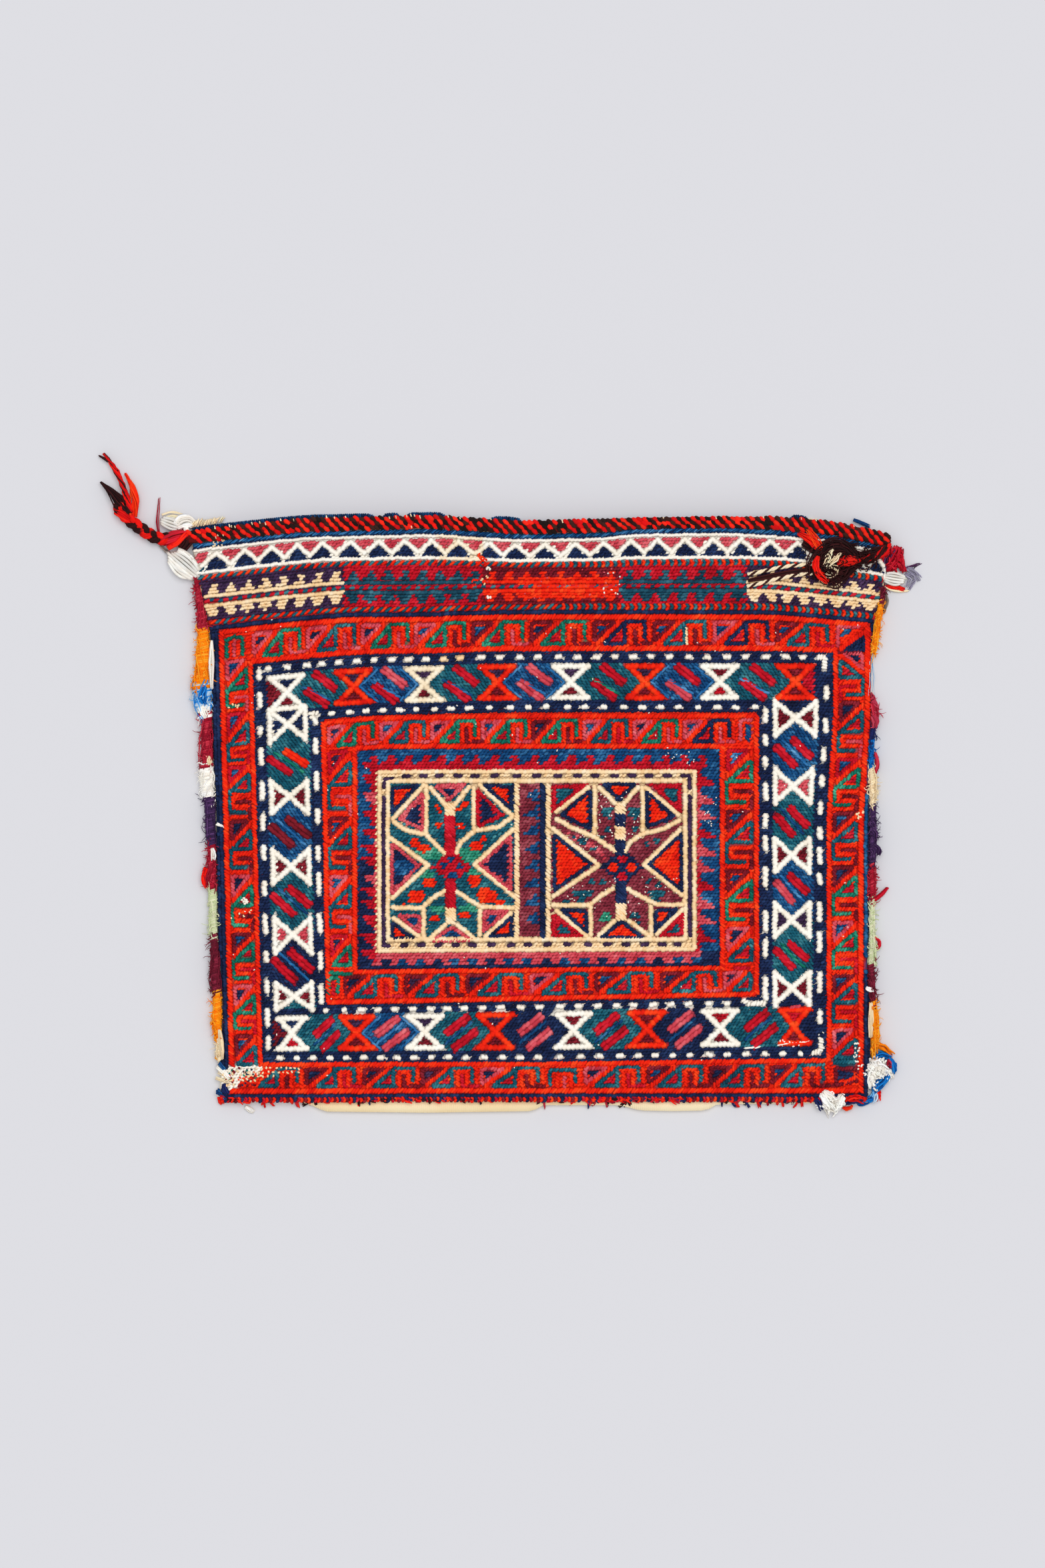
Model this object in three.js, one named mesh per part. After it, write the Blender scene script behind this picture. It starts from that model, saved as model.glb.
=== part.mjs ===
// Flat-woven feed bag, lying empty on its back with its mouth towards +Y.
// A thick wool front with raised pattern lines is bound along both sides to a thin cotton back,
// its mouth edge is wrapped, and short tie cords and cotton lacings hang at the two mouth corners.
// Millimetres, +Z up, origin at the middle of the back cloth's underside.

import * as THREE from 'three';

// Driving dimensions: the two cloths
const footWidth = 393;
const panelHeight = 348;
const frontThickness = 4;
const backThickness = 1.6;
const seamGap = 0.3;
const undersideStep = 16;
const frontRise = 6.5;
const sideRamp = 45;
const footRamp = 40;
const hemReach = 4.2;
const hemHeight = 3;
const hemWave = 1.8;
const hemWaveLength = 190;

// Lie of the cloth: the mouth spreads and its corners droop
const mouthFlareLeft = 18;
const mouthFlareRight = 11;
const flarePower = 4;
const mouthWave = 1.8;
const cornerDroopLeft = 7.5;
const cornerDroopRight = 9.5;
const droopRunLeft = 75;
const droopRunRight = 42;
const droopStart = 0.55;
const droopFull = 0.85;

// Woven layout, counted inwards from the edges of the front
const sideMargin = 4;
const footMargin = 8.5;
const mouthBands = 52;
const smallBorder = 19;
const outerDashBand = 8.4;
const mainBorder = 22.8;
const innerDashBand = 8.2;
const innerBorder = 18.4;
const fieldFrame = 21.4;
const upperTwiningInset = 19.4;
const lowerTwiningInset = 44.6;
const lineHalfWidth = 1.8;
const lineRelief = 0.9;
const lineMerge = 0.05;
const motifRelief = 0.8;
const hourglassesAcross = 8;
const bowTiesUp = 5;
const bowTieHalfHeight = 10;
const bowTieCornerStep = 24;
const dividerHalfWidth = 9.5;

// Edges
const mouthWrapWidth = 9;
const mouthWrapHeight = 5;
const mouthWrapPitch = 12;
const backBindingDiameter = 3;
const backBindingReach = 0.8;
const cornerTaper = 0.43;
const bindingWidth = 5.4;
const bindingHeight = 6.2;
const bindingBundlePitch = 17;
const bindingWaist = 0.86;
const floorClearance = 0.1;
const leftBindingSpan = [0.02, 0.91];
const rightBindingSpan = [0.1, 0.9];

// Cords, lacings and tufts
const leftTieDiameter = 7.5;
const leftTieDrop = 1.9;
const leftTasselLength = 34;
const leftTasselSpread = 15;
const leftTasselHeight = 3;
const rightTieDiameter = 4.4;
const rightKnotSize = [14, 15, 7];
const rightTailSize = [7, 3];
const rightTailLength = 40;
const tailSlope = 0.22;
const lacingDiameter = 3.2;
const coilDiameter = 5;
const upperLacingSize = [22, 12];
const upperLacingReach = 9.2;
const lowerLacingSize = [22, 16];
const lowerLacingTurn = -0.6;
const rightLacingSize = [17, 12];
const lacingTuck = 0.8;
const rightTuftSize = [11.5, 15, 7];
const footCornerTuftSize = [13, 27, 8];
const footWhiteTuftSize = [20, 13, 4.4];
const footWhiteTuftInset = 26;
const footWhiteTuftOverhang = 2;

// Values that follow from the dimensions
const halfWidth = footWidth / 2;
const halfHeight = panelHeight / 2;
const layoutWidths = {};
layoutWidths.outerLine = 0;
layoutWidths.outerInnerLine = layoutWidths.outerLine + smallBorder;
layoutWidths.mainOuter = layoutWidths.outerInnerLine + outerDashBand;
layoutWidths.mainInner = layoutWidths.mainOuter + mainBorder;
layoutWidths.innerLine = layoutWidths.mainInner + innerDashBand;
layoutWidths.innerInnerLine = layoutWidths.innerLine + innerBorder;
layoutWidths.field = layoutWidths.innerInnerLine + fieldFrame;

const clamp01 = (value) => Math.min(1, Math.max(0, value));
const ease = (value) => clamp01(value) ** 2 * (3 - 2 * clamp01(value));

// Rectangle of the layout, a given width inside the outermost line
function ringAt(width) {
  return {
    left: -halfWidth + sideMargin + width,
    right: halfWidth - sideMargin - width,
    foot: -halfHeight + footMargin + width,
    mouth: halfHeight - mouthBands - width,
  };
}

// Place of a layout point once the cloth lies on the ground
function lie(x, y) {
  const across = x / halfWidth;
  const up = (y + halfHeight) / panelHeight;
  const flare = across < 0 ? mouthFlareLeft : mouthFlareRight;
  const droopFade = ease((up - droopStart) / (droopFull - droopStart));
  const leftShare = clamp01((-halfWidth + droopRunLeft - x) / droopRunLeft);
  const rightShare = clamp01((x - halfWidth + droopRunRight) / droopRunRight);
  const droop = cornerDroopLeft * leftShare ** 2 + cornerDroopRight * rightShare ** 2;
  const wave = mouthWave * Math.sin(across * 2 * Math.PI) * Math.sign(across) * clamp01(up) ** flarePower;
  return new THREE.Vector2(x + flare * across * clamp01(up) ** flarePower, y + wave - droop * droopFade);
}

// Underside of the front: down on the back at the seams, standing off between them, open at the mouth
function frontUnderside(x, y) {
  const fromSide = (halfWidth - Math.abs(x)) / sideRamp;
  const fromFoot = (y + halfHeight) / footRamp;
  return backThickness + seamGap + frontRise * ease(fromSide) * ease(fromFoot);
}

const roof = (distance, halfSpan) => clamp01(1 - Math.abs(distance) / halfSpan);

function ringDistance(ring, x, y) {
  const outX = Math.max(ring.left - x, x - ring.right);
  const outY = Math.max(ring.foot - y, y - ring.mouth);
  return Math.max(outX, outY);
}

const raisedLines = ['outerLine', 'outerInnerLine', 'innerLine', 'innerInnerLine']
  .map((name) => ringAt(layoutWidths[name]));
const mainMiddle = ringAt(layoutWidths.mainOuter + mainBorder / 2);
const field = ringAt(layoutWidths.field);
const fieldCentreY = (field.foot + field.mouth) / 2;

const spread = (from, to, count) =>
  Array.from({ length: count }, (_, index) => from + ((to - from) * index) / (count - 1));
const hourglassCentres = spread(mainMiddle.left, mainMiddle.right, hourglassesAcross);
const bowTieCentres = spread(
  mainMiddle.foot + bowTieCornerStep, mainMiddle.mouth - bowTieCornerStep, bowTiesUp);

// Hexagon raised like a tent between two waists, along the first coordinate
function hexagonTent(along, across, from, to, shoulder) {
  const pastShoulder = Math.abs(along - (from + to) / 2) - (to - from) / 2 + shoulder;
  const fall = Math.abs(across) / (mainBorder / 2) + Math.max(0, pastShoulder / shoulder);
  return clamp01(1 - fall);
}

function tentRow(along, across, waists, shoulder) {
  let height = 0;
  for (let index = 1; index < waists.length; index += 1) {
    height = Math.max(height, hexagonTent(along, across, waists[index - 1], waists[index], shoulder));
  }
  return height;
}

// Height of the raised weave over the plain front
function weaveRelief(x, y) {
  let line = 0;
  for (const ring of raisedLines) {
    line = Math.max(line, roof(ringDistance(ring, x, y), lineHalfWidth));
  }
  for (const inset of [upperTwiningInset, lowerTwiningInset]) {
    line = Math.max(line, roof(halfHeight - inset - y, lineHalfWidth));
  }
  const rows = [mainMiddle.foot, mainMiddle.mouth]
    .map((middle) => tentRow(x, y - middle, hourglassCentres, mainBorder / 2));
  const columns = [mainMiddle.left, mainMiddle.right]
    .map((middle) => tentRow(y, x - middle, bowTieCentres, bowTieHalfHeight));
  const insideField = clamp01((field.mouth - fieldCentreY - Math.abs(y - fieldCentreY)) / lineHalfWidth);
  const divider = roof(x, dividerHalfWidth) * insideField;
  return Math.max(lineRelief * line, motifRelief * Math.max(...rows, ...columns, divider));
}

const frontTop = (x, y) => frontUnderside(x, y) + frontThickness + weaveRelief(x, y);

// Lines of a mesh grid in order, without near repeats
function orderedLines(values, spacing) {
  const sorted = [...values].sort((a, b) => a - b);
  const kept = sorted.filter((value, index) => index === 0 || value - sorted[index - 1] > spacing);
  kept[kept.length - 1] = sorted[sorted.length - 1];
  return kept;
}

// Every line that the relief bends along
function reliefLines() {
  const linesX = [-halfWidth, halfWidth, -dividerHalfWidth, 0, dividerHalfWidth];
  const linesY = [-halfHeight, halfHeight, field.foot, field.mouth,
    field.foot + lineHalfWidth, field.mouth - lineHalfWidth];
  for (const offset of [-lineHalfWidth, 0, lineHalfWidth]) {
    for (const ring of raisedLines) {
      linesX.push(ring.left + offset, ring.right + offset);
      linesY.push(ring.foot + offset, ring.mouth + offset);
    }
    for (const inset of [upperTwiningInset, lowerTwiningInset]) {
      linesY.push(halfHeight - inset + offset);
    }
  }
  for (const side of [-1, 0, 1]) {
    for (const centre of hourglassCentres) linesX.push(centre + (side * mainBorder) / 2);
    for (const centre of bowTieCentres) linesY.push(centre + side * bowTieHalfHeight);
    for (const middle of [mainMiddle.foot, mainMiddle.mouth]) linesY.push(middle + (side * mainBorder) / 2);
  }
  return [orderedLines(linesX, lineMerge), orderedLines(linesY, lineMerge)];
}

// A few of the lines, far apart, for a face that needs less detail
function thinned(lines, spacing) {
  const kept = [lines[0]];
  for (const value of lines.slice(1, -1)) {
    const last = lines[lines.length - 1];
    if (value - kept[kept.length - 1] >= spacing && last - value >= spacing / 2) kept.push(value);
  }
  return [...kept, lines[lines.length - 1]];
}

function geometryFrom(points, triangles) {
  const geometry = new THREE.BufferGeometry();
  geometry.setAttribute('position', new THREE.Float32BufferAttribute(points.flatMap((p) => p.toArray()), 3));
  geometry.setIndex(triangles.flat());
  geometry.computeVertexNormals();
  return geometry;
}

// Closed cloth between a finely divided top face and a plainer underside
function clothGeometry(topLines, underLines, topPoint, underPoint) {
  const points = [];
  const triangles = [];
  const addGrid = ([linesX, linesY], pointAt) => {
    const first = points.length;
    for (const y of linesY) for (const x of linesX) points.push(pointAt(x, y));
    return (column, row) => first + row * linesX.length + column;
  };
  const fillGrid = ([linesX, linesY], at, pointAt, upward) => {
    for (let row = 0; row + 1 < linesY.length; row += 1) {
      for (let column = 0; column + 1 < linesX.length; column += 1) {
        const corners = [at(column, row), at(column + 1, row), at(column + 1, row + 1), at(column, row + 1)];
        const middle = pointAt(
          (linesX[column] + linesX[column + 1]) / 2, (linesY[row] + linesY[row + 1]) / 2).z;
        const heights = corners.map((corner) => points[corner].z);
        const alongMain = Math.abs((heights[0] + heights[2]) / 2 - middle);
        const alongCross = Math.abs((heights[1] + heights[3]) / 2 - middle);
        const [a, b, c, d] = alongMain <= alongCross ? corners : [...corners.slice(1), corners[0]];
        triangles.push(upward ? [a, b, c] : [a, c, b], upward ? [a, c, d] : [a, d, c]);
      }
    }
  };
  const topAt = addGrid(topLines, topPoint);
  const underAt = addGrid(underLines, underPoint);
  fillGrid(topLines, topAt, topPoint, true);
  fillGrid(underLines, underAt, underPoint, false);
  // Walk once round the rim, joining each long step below to the short steps above it
  const rim = ([linesX, linesY], at) => {
    const lastColumn = linesX.length - 1;
    const lastRow = linesY.length - 1;
    return [
      linesX.map((x, column) => [x, at(column, 0)]),
      linesY.map((y, row) => [y, at(lastColumn, row)]),
      linesX.map((x, column) => [-x, at(column, lastRow)]).reverse(),
      linesY.map((y, row) => [-y, at(0, row)]).reverse(),
    ];
  };
  const underRim = rim(underLines, underAt);
  rim(topLines, topAt).forEach((upper, side) => {
    const lower = underRim[side];
    let next = 0;
    for (let step = 0; step + 1 < lower.length; step += 1) {
      while (next + 1 < upper.length && upper[next + 1][0] <= lower[step + 1][0]) {
        triangles.push([lower[step][1], upper[next + 1][1], upper[next][1]]);
        next += 1;
      }
      triangles.push([lower[step][1], lower[step + 1][1], upper[next][1]]);
    }
  });
  return geometryFrom(points, triangles);
}

// Round-sectioned roll along a run of stations, each a place with its own fullness
function rollGeometry(stations, width, height, sides) {
  const points = [];
  const triangles = [];
  stations.forEach(({ place, fullness }, index) => {
    const before = stations[Math.max(0, index - 1)].place;
    const after = stations[Math.min(stations.length - 1, index + 1)].place;
    const heading = Math.atan2(after.y - before.y, after.x - before.x);
    for (let side = 0; side < sides; side += 1) {
      const angle = (2 * Math.PI * (side + 0.5)) / sides;
      const sideways = (Math.cos(angle) * width * fullness) / 2;
      points.push(new THREE.Vector3(
        place.x + sideways * Math.sin(heading),
        place.y - sideways * Math.cos(heading),
        place.z + (Math.sin(angle) * height * fullness) / 2));
    }
  });
  for (let ring = 0; ring + 1 < stations.length; ring += 1) {
    for (let side = 0; side < sides; side += 1) {
      const a = ring * sides + side;
      const b = ring * sides + ((side + 1) % sides);
      triangles.push([a, b + sides, b], [a, a + sides, b + sides]);
    }
  }
  const lastRing = (stations.length - 1) * sides;
  for (let side = 1; side + 1 < sides; side += 1) {
    triangles.push([0, side, side + 1], [lastRing, lastRing + side + 1, lastRing + side]);
  }
  return geometryFrom(points, triangles);
}

// Stations along a run, swelling at each turn of yarn and drawn in between turns
function wrappedStations(length, pitch, waist, placeAt) {
  const turns = Math.max(2, Math.round(length / pitch));
  return Array.from({ length: 2 * turns + 1 }, (_, index) => ({
    place: placeAt(index / (2 * turns)),
    fullness: index % 2 ? 1 : waist,
  }));
}

// Tube of a given section along a hand-chosen route
function cordGeometry(route, width, height, sides, steps) {
  const section = new THREE.Shape();
  for (let side = 0; side < sides; side += 1) {
    const angle = (2 * Math.PI * side) / sides;
    const point = [(Math.cos(angle) * height) / 2, (Math.sin(angle) * width) / 2];
    if (side) section.lineTo(...point);
    else section.moveTo(...point);
  }
  section.closePath();
  return new THREE.ExtrudeGeometry(section, { steps, extrudePath: new THREE.CatmullRomCurve3(route) });
}

// Rounded lump of yarn
function tuftGeometry([sizeX, sizeY, sizeZ]) {
  return new THREE.SphereGeometry(0.5, 12, 8).scale(sizeX, sizeY, sizeZ);
}

// Oval ring of a laced loop, lying flat
function loopGeometry([sizeX, sizeY], diameter) {
  const ring = new THREE.TorusGeometry(2, 1, 7, 18);
  const place = ring.attributes.position;
  for (let index = 0; index < place.count; index += 1) {
    const around = Math.atan2(place.getY(index), place.getX(index));
    const reach = Math.hypot(place.getX(index), place.getY(index)) - 2;
    place.setXYZ(index,
      Math.cos(around) * ((sizeX - diameter) / 2 + (reach * diameter) / 2),
      Math.sin(around) * ((sizeY - diameter) / 2 + (reach * diameter) / 2),
      (place.getZ(index) * diameter) / 2);
  }
  ring.computeVertexNormals();
  return ring;
}

const bag = new THREE.Group();

function addPiece(name, geometry, color, roughness = 0.95) {
  const piece = new THREE.Mesh(geometry, new THREE.MeshStandardMaterial({ color, roughness, metalness: 0 }));
  piece.name = name;
  bag.add(piece);
  return piece;
}

// Front: wool weave with raised lines
const frontLines = reliefLines();
const underLines = frontLines.map((lines) => thinned(lines, undersideStep));
const onCloth = (x, y, z) => new THREE.Vector3(lie(x, y).x, lie(x, y).y, z);
addPiece('front_panel', clothGeometry(
  frontLines, underLines,
  (x, y) => onCloth(x, y, frontTop(x, y)),
  (x, y) => onCloth(x, y, frontUnderside(x, y))), 0xb3261c);

// Back: cotton cloth with a rolled hem that shows below the foot
const backMouth = halfHeight + seamGap + mouthWrapWidth + backBindingReach - backBindingDiameter - seamGap;
const hemEdge = -halfHeight - hemReach;
const hemCrest = -halfHeight - hemReach / 2;
const hemInner = -halfHeight - seamGap;
const backLinesX = spread(-halfWidth, halfWidth, 17);
const backLinesY = [hemEdge, hemCrest, hemInner, ...spread(0, backMouth, 6)];
const hemShift = (x, y) => (y < -halfHeight ? hemWave * Math.cos((2 * Math.PI * x) / hemWaveLength) : 0)
  * clamp01((-halfHeight - seamGap - y) / hemReach);
const backTop = (y) => {
  const inHem = clamp01((-halfHeight - seamGap - y) / (hemReach / 2 - seamGap));
  const pastCrest = clamp01((hemCrest - y) / (hemReach / 2));
  return backThickness + (hemHeight - backThickness) * inHem * (1 - pastCrest);
};
const backPoint = (x, y, z) => {
  const place = lie(x, Math.max(y, -halfHeight));
  return new THREE.Vector3(place.x, place.y + Math.min(0, y + halfHeight) + hemShift(x, y), z);
};
addPiece('back_panel', clothGeometry(
  [backLinesX, backLinesY], [backLinesX, backLinesY],
  (x, y) => backPoint(x, y, backTop(y)),
  (x, y) => backPoint(x, y, 0)), 0xf0dcae);

// Mouth: wrapped edge on the front, overcast edge on the back
const mouthEdge = (share, beyond, z) => {
  const x = -halfWidth + footWidth * share;
  const place = lie(x, halfHeight);
  return new THREE.Vector3(place.x, place.y + beyond, z);
};
const mouthWrapPlace = (share) => mouthEdge(share, seamGap + mouthWrapWidth / 2,
  frontUnderside(-halfWidth + footWidth * share, halfHeight) + frontThickness / 2 + mouthWrapHeight / 8);
const cornerWrapShare = sideRamp / footWidth;
const wrapGapShare = seamGap / footWidth;
const mouthWrapRuns = [
  ['left_mouth_corner_wrap', 0, cornerWrapShare],
  ['mouth_edge_wrap', cornerWrapShare + wrapGapShare, 1 - cornerWrapShare - wrapGapShare],
  ['right_mouth_corner_wrap', 1 - cornerWrapShare, 1],
];
for (const [name, from, to] of mouthWrapRuns) {
  const placeAt = (share) => mouthWrapPlace(from + (to - from) * share);
  addPiece(name, rollGeometry(
    wrappedStations(footWidth * (to - from), mouthWrapPitch, bindingWaist, placeAt),
    mouthWrapWidth, mouthWrapHeight, 8), 0xd0241a);
}

const backBindingPlace = (share) => {
  const x = -halfWidth + footWidth * share;
  const place = lie(x, backMouth);
  return new THREE.Vector3(
    place.x, place.y + seamGap + backBindingDiameter / 2, backBindingDiameter / 2 + floorClearance);
};
const backBindingStations = spread(0.01, 0.99, 19).map((share) => ({
  place: backBindingPlace(share),
  fullness: frontUnderside(-halfWidth + footWidth * share, halfHeight) > backBindingDiameter ? 1 : cornerTaper,
}));
addPiece('back_mouth_binding', rollGeometry(
  backBindingStations, backBindingDiameter, backBindingDiameter, 8), 0x1c4a7a);

// Sides: yarn overcast in bundles round both cloths' edges
function sideBinding(side, [from, to]) {
  const placeAt = (share) => {
    const y = -halfHeight + panelHeight * (from + (to - from) * share);
    const edge = lie(side * halfWidth, y);
    return new THREE.Vector3(
      edge.x + side * (seamGap + bindingWidth / 2), edge.y, bindingHeight / 2 + floorClearance);
  };
  const length = panelHeight * (to - from);
  return rollGeometry(
    wrappedStations(length, bindingBundlePitch, bindingWaist, placeAt), bindingWidth, bindingHeight, 8);
}
addPiece('left_edge_binding', sideBinding(-1, leftBindingSpan), 0xa61c30);
addPiece('right_edge_binding', sideBinding(1, rightBindingSpan), 0x3b2a55);

// Left corner: thick braided tie lying on the ground, ending in loose strands, with two laced loops
const leftCorner = mouthWrapPlace(0);
const leftTieHeight = leftTieDiameter / 2 + floorClearance;
const leftTieRoute = [
  [0.3, 0], [4, -0.4], [8, -0.9], [12, -1.4], [16, -1.9], [20, -1.6], [24, 0.2], [28, 2.8],
  [32, 5.6], [36, 8.6], [39.5, 12], [42.6, 15.8], [44.6, 19.4],
].map(([outward, up]) => new THREE.Vector3(leftCorner.x - outward - seamGap, leftCorner.y + up, leftTieHeight));
addPiece('left_tie_cord', cordGeometry(leftTieRoute, leftTieDiameter, leftTieDiameter, 10, 16), 0x8f1518);

const tieEnd = leftTieRoute[leftTieRoute.length - 1];
const tieHeading = tieEnd.clone().sub(leftTieRoute[leftTieRoute.length - 2]).normalize();
const tasselOutline = new THREE.Shape([
  new THREE.Vector2(0, -leftTieDiameter / 3),
  new THREE.Vector2(leftTasselLength * 0.6, -leftTasselSpread / 2),
  new THREE.Vector2(leftTasselLength * 0.55, -leftTasselSpread / 6),
  new THREE.Vector2(leftTasselLength, leftTasselSpread / 12),
  new THREE.Vector2(leftTasselLength * 0.6, leftTasselSpread / 6),
  new THREE.Vector2(leftTasselLength * 0.75, leftTasselSpread / 2),
  new THREE.Vector2(leftTasselLength * 0.25, leftTieDiameter / 2),
  new THREE.Vector2(0, leftTieDiameter / 3),
]);
const tassel = addPiece('left_tie_tassel', new THREE.ExtrudeGeometry(
  tasselOutline, { depth: leftTasselHeight, bevelEnabled: false }), 0xb01a1e);
tassel.position.set(tieEnd.x + tieHeading.x * seamGap, tieEnd.y + tieHeading.y * seamGap, floorClearance);
tassel.rotation.z = Math.atan2(tieHeading.y, tieHeading.x);

const upperLacing = addPiece('left_corner_lacing_upper', loopGeometry(upperLacingSize, lacingDiameter), 0xf3eee2);
upperLacing.position.set(
  leftCorner.x - seamGap - upperLacingReach,
  leftCorner.y - leftTieDrop / 2 + leftTieDiameter / 2 + upperLacingSize[1] / 2,
  lacingDiameter / 2 + floorClearance);
const lowerLacing = addPiece('left_corner_lacing_lower', loopGeometry(lowerLacingSize, coilDiameter), 0xf3eee2);
const lowerLacingReachX = Math.hypot(
  lowerLacingSize[0] * Math.cos(lowerLacingTurn), lowerLacingSize[1] * Math.sin(lowerLacingTurn)) / 2;
const lowerLacingReachY = Math.hypot(
  lowerLacingSize[0] * Math.sin(lowerLacingTurn), lowerLacingSize[1] * Math.cos(lowerLacingTurn)) / 2;
const lowerLacingY = leftCorner.y - leftTieDrop - leftTieDiameter / 2 - seamGap - lowerLacingReachY;
lowerLacing.position.set(
  lie(-halfWidth, lowerLacingY + lowerLacingReachY / 2).x - 2 * seamGap - lowerLacingReachX,
  lowerLacingY,
  coilDiameter / 2 + floorClearance);
lowerLacing.rotation.z = lowerLacingTurn;

// Right corner: thin tie lying over the front, a knot in it and flat tails, a tuft and a laced loop
const onFront = ([fromSide, fromMouth], relief, lift) => {
  const x = halfWidth - fromSide;
  const y = halfHeight - fromMouth;
  return onCloth(x, y, frontUnderside(x, y) + frontThickness + relief + seamGap + lift);
};
const rightTieInsets = [
  [1.5, 5], [3.5, 7], [6, 9], [9, 11], [12, 12.6], [15, 14], [18, 15.2], [21, 16.3], [24, 17.2],
];
const rightTieRoute = rightTieInsets.map((place) => onFront(place, 0, rightTieDiameter / 2));
addPiece('right_tie_cord', cordGeometry(rightTieRoute, rightTieDiameter, rightTieDiameter, 8, 12), 0x5c1416);

const tieEndInset = rightTieInsets[rightTieInsets.length - 1];
const knotInset = [tieEndInset[0] + 2 * seamGap + rightKnotSize[0] / 2, tieEndInset[1] + rightTieDiameter / 2];
const knot = addPiece('right_tie_knot', tuftGeometry(rightKnotSize), 0x8c1416);
knot.position.copy(onFront(knotInset, lineRelief, rightKnotSize[2] / 2));
const tailStart = knotInset[0] + rightKnotSize[0] / 2 + seamGap;
const rightTailRoute = spread(0, rightTailLength, 9)
  .map((run) => onFront([tailStart + run, knotInset[1] + run * tailSlope], lineRelief, rightTailSize[1] / 2));
addPiece('right_tie_tail', cordGeometry(rightTailRoute, ...rightTailSize, 10, 12), 0x4b3430);

const rightCorner = mouthWrapPlace(1);
const rightTuft = addPiece('right_corner_tuft', tuftGeometry(rightTuftSize), 0x9b0a22);
rightTuft.position.set(
  rightCorner.x + seamGap + rightTuftSize[0] / 2,
  rightCorner.y - mouthWrapWidth / 3,
  rightTuftSize[2] / 2 + floorClearance);
const rightLacing = addPiece('right_corner_lacing', loopGeometry(rightLacingSize, lacingDiameter), 0xf3eee2);
const rightLacingY = rightTuft.position.y - rightTuftSize[1] / 2 + lacingTuck - rightLacingSize[1] / 2;
rightLacing.position.set(
  lie(halfWidth, rightLacingY + rightLacingSize[1] / 2).x + seamGap + rightLacingSize[0] / 2,
  rightLacingY,
  lacingDiameter / 2 + floorClearance);

// Foot: a lump of yarn where the right binding ends, and a tuft over the foot edge
const footCornerTuft = addPiece('foot_corner_tuft', tuftGeometry(footCornerTuftSize), 0xe9eef4);
const rightBindingFoot = lie(halfWidth, -halfHeight + panelHeight * rightBindingSpan[0]);
footCornerTuft.position.set(
  rightBindingFoot.x + seamGap + footCornerTuftSize[0] / 2,
  rightBindingFoot.y - seamGap - footCornerTuftSize[1] / 2,
  footCornerTuftSize[2] / 2 + floorClearance);
const footWhiteTuft = addPiece('foot_white_tuft', tuftGeometry(footWhiteTuftSize), 0xf6f1e6);
const footTuftPlace = lie(
  halfWidth - footWhiteTuftInset, -halfHeight + footWhiteTuftSize[1] / 2 - footWhiteTuftOverhang);
footWhiteTuft.position.set(
  footTuftPlace.x, footTuftPlace.y,
  backThickness + 2 * seamGap + frontThickness + lineRelief + footWhiteTuftSize[2] / 2);

export default bag;
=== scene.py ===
import math

import bmesh
import bpy
import numpy as np
from mathutils import Matrix, Vector


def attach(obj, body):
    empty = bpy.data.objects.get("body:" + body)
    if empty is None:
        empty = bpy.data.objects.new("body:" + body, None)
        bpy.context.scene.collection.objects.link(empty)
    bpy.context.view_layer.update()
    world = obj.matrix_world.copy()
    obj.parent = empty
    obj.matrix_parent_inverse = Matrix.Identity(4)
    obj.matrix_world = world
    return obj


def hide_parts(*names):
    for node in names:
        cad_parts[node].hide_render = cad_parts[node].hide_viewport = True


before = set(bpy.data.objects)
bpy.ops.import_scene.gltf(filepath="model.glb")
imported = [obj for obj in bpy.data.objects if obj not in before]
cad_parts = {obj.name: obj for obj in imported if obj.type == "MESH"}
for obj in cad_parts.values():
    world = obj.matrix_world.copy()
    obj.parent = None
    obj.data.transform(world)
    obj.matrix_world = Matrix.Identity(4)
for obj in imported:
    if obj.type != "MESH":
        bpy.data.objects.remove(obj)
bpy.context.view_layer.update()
chance = np.random.default_rng(11)

# The weaver's chart: one unit is about a fifth of a stitch, y runs from the mouth down to the foot
chart = {"unit": 0.000405, "middleX": 817.0, "middleY": 1227.5, "mouth": 798.0, "foot": 1657.0}
cloth = {
    "backThickness": 0.0016, "seamGap": 0.0003, "frontThickness": 0.004, "rise": 0.0065,
    "halfWidth": 0.1965, "sideRamp": 0.045, "footRamp": 0.040, "stitchBed": 0.001,
    "waves": (0.0005, 61, 83, 47),  # how high, then how wide along x, along y and slanting
    "waveStart": (0.7, 0.4), "slantShare": 0.6,
    "leftEdge": ((800, 287), (870, 298), (940, 315), (1000, 320), (1100, 320), (1200, 325),
                 (1400, 328), (1500, 335), (1600, 333), (1657, 330)),
    "rightEdge": ((800, 1331), (870, 1325), (930, 1312), (980, 1306), (1100, 1306), (1150, 1302),
                  (1400, 1303), (1450, 1300), (1500, 1304), (1570, 1306), (1657, 1300)),
}
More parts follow.
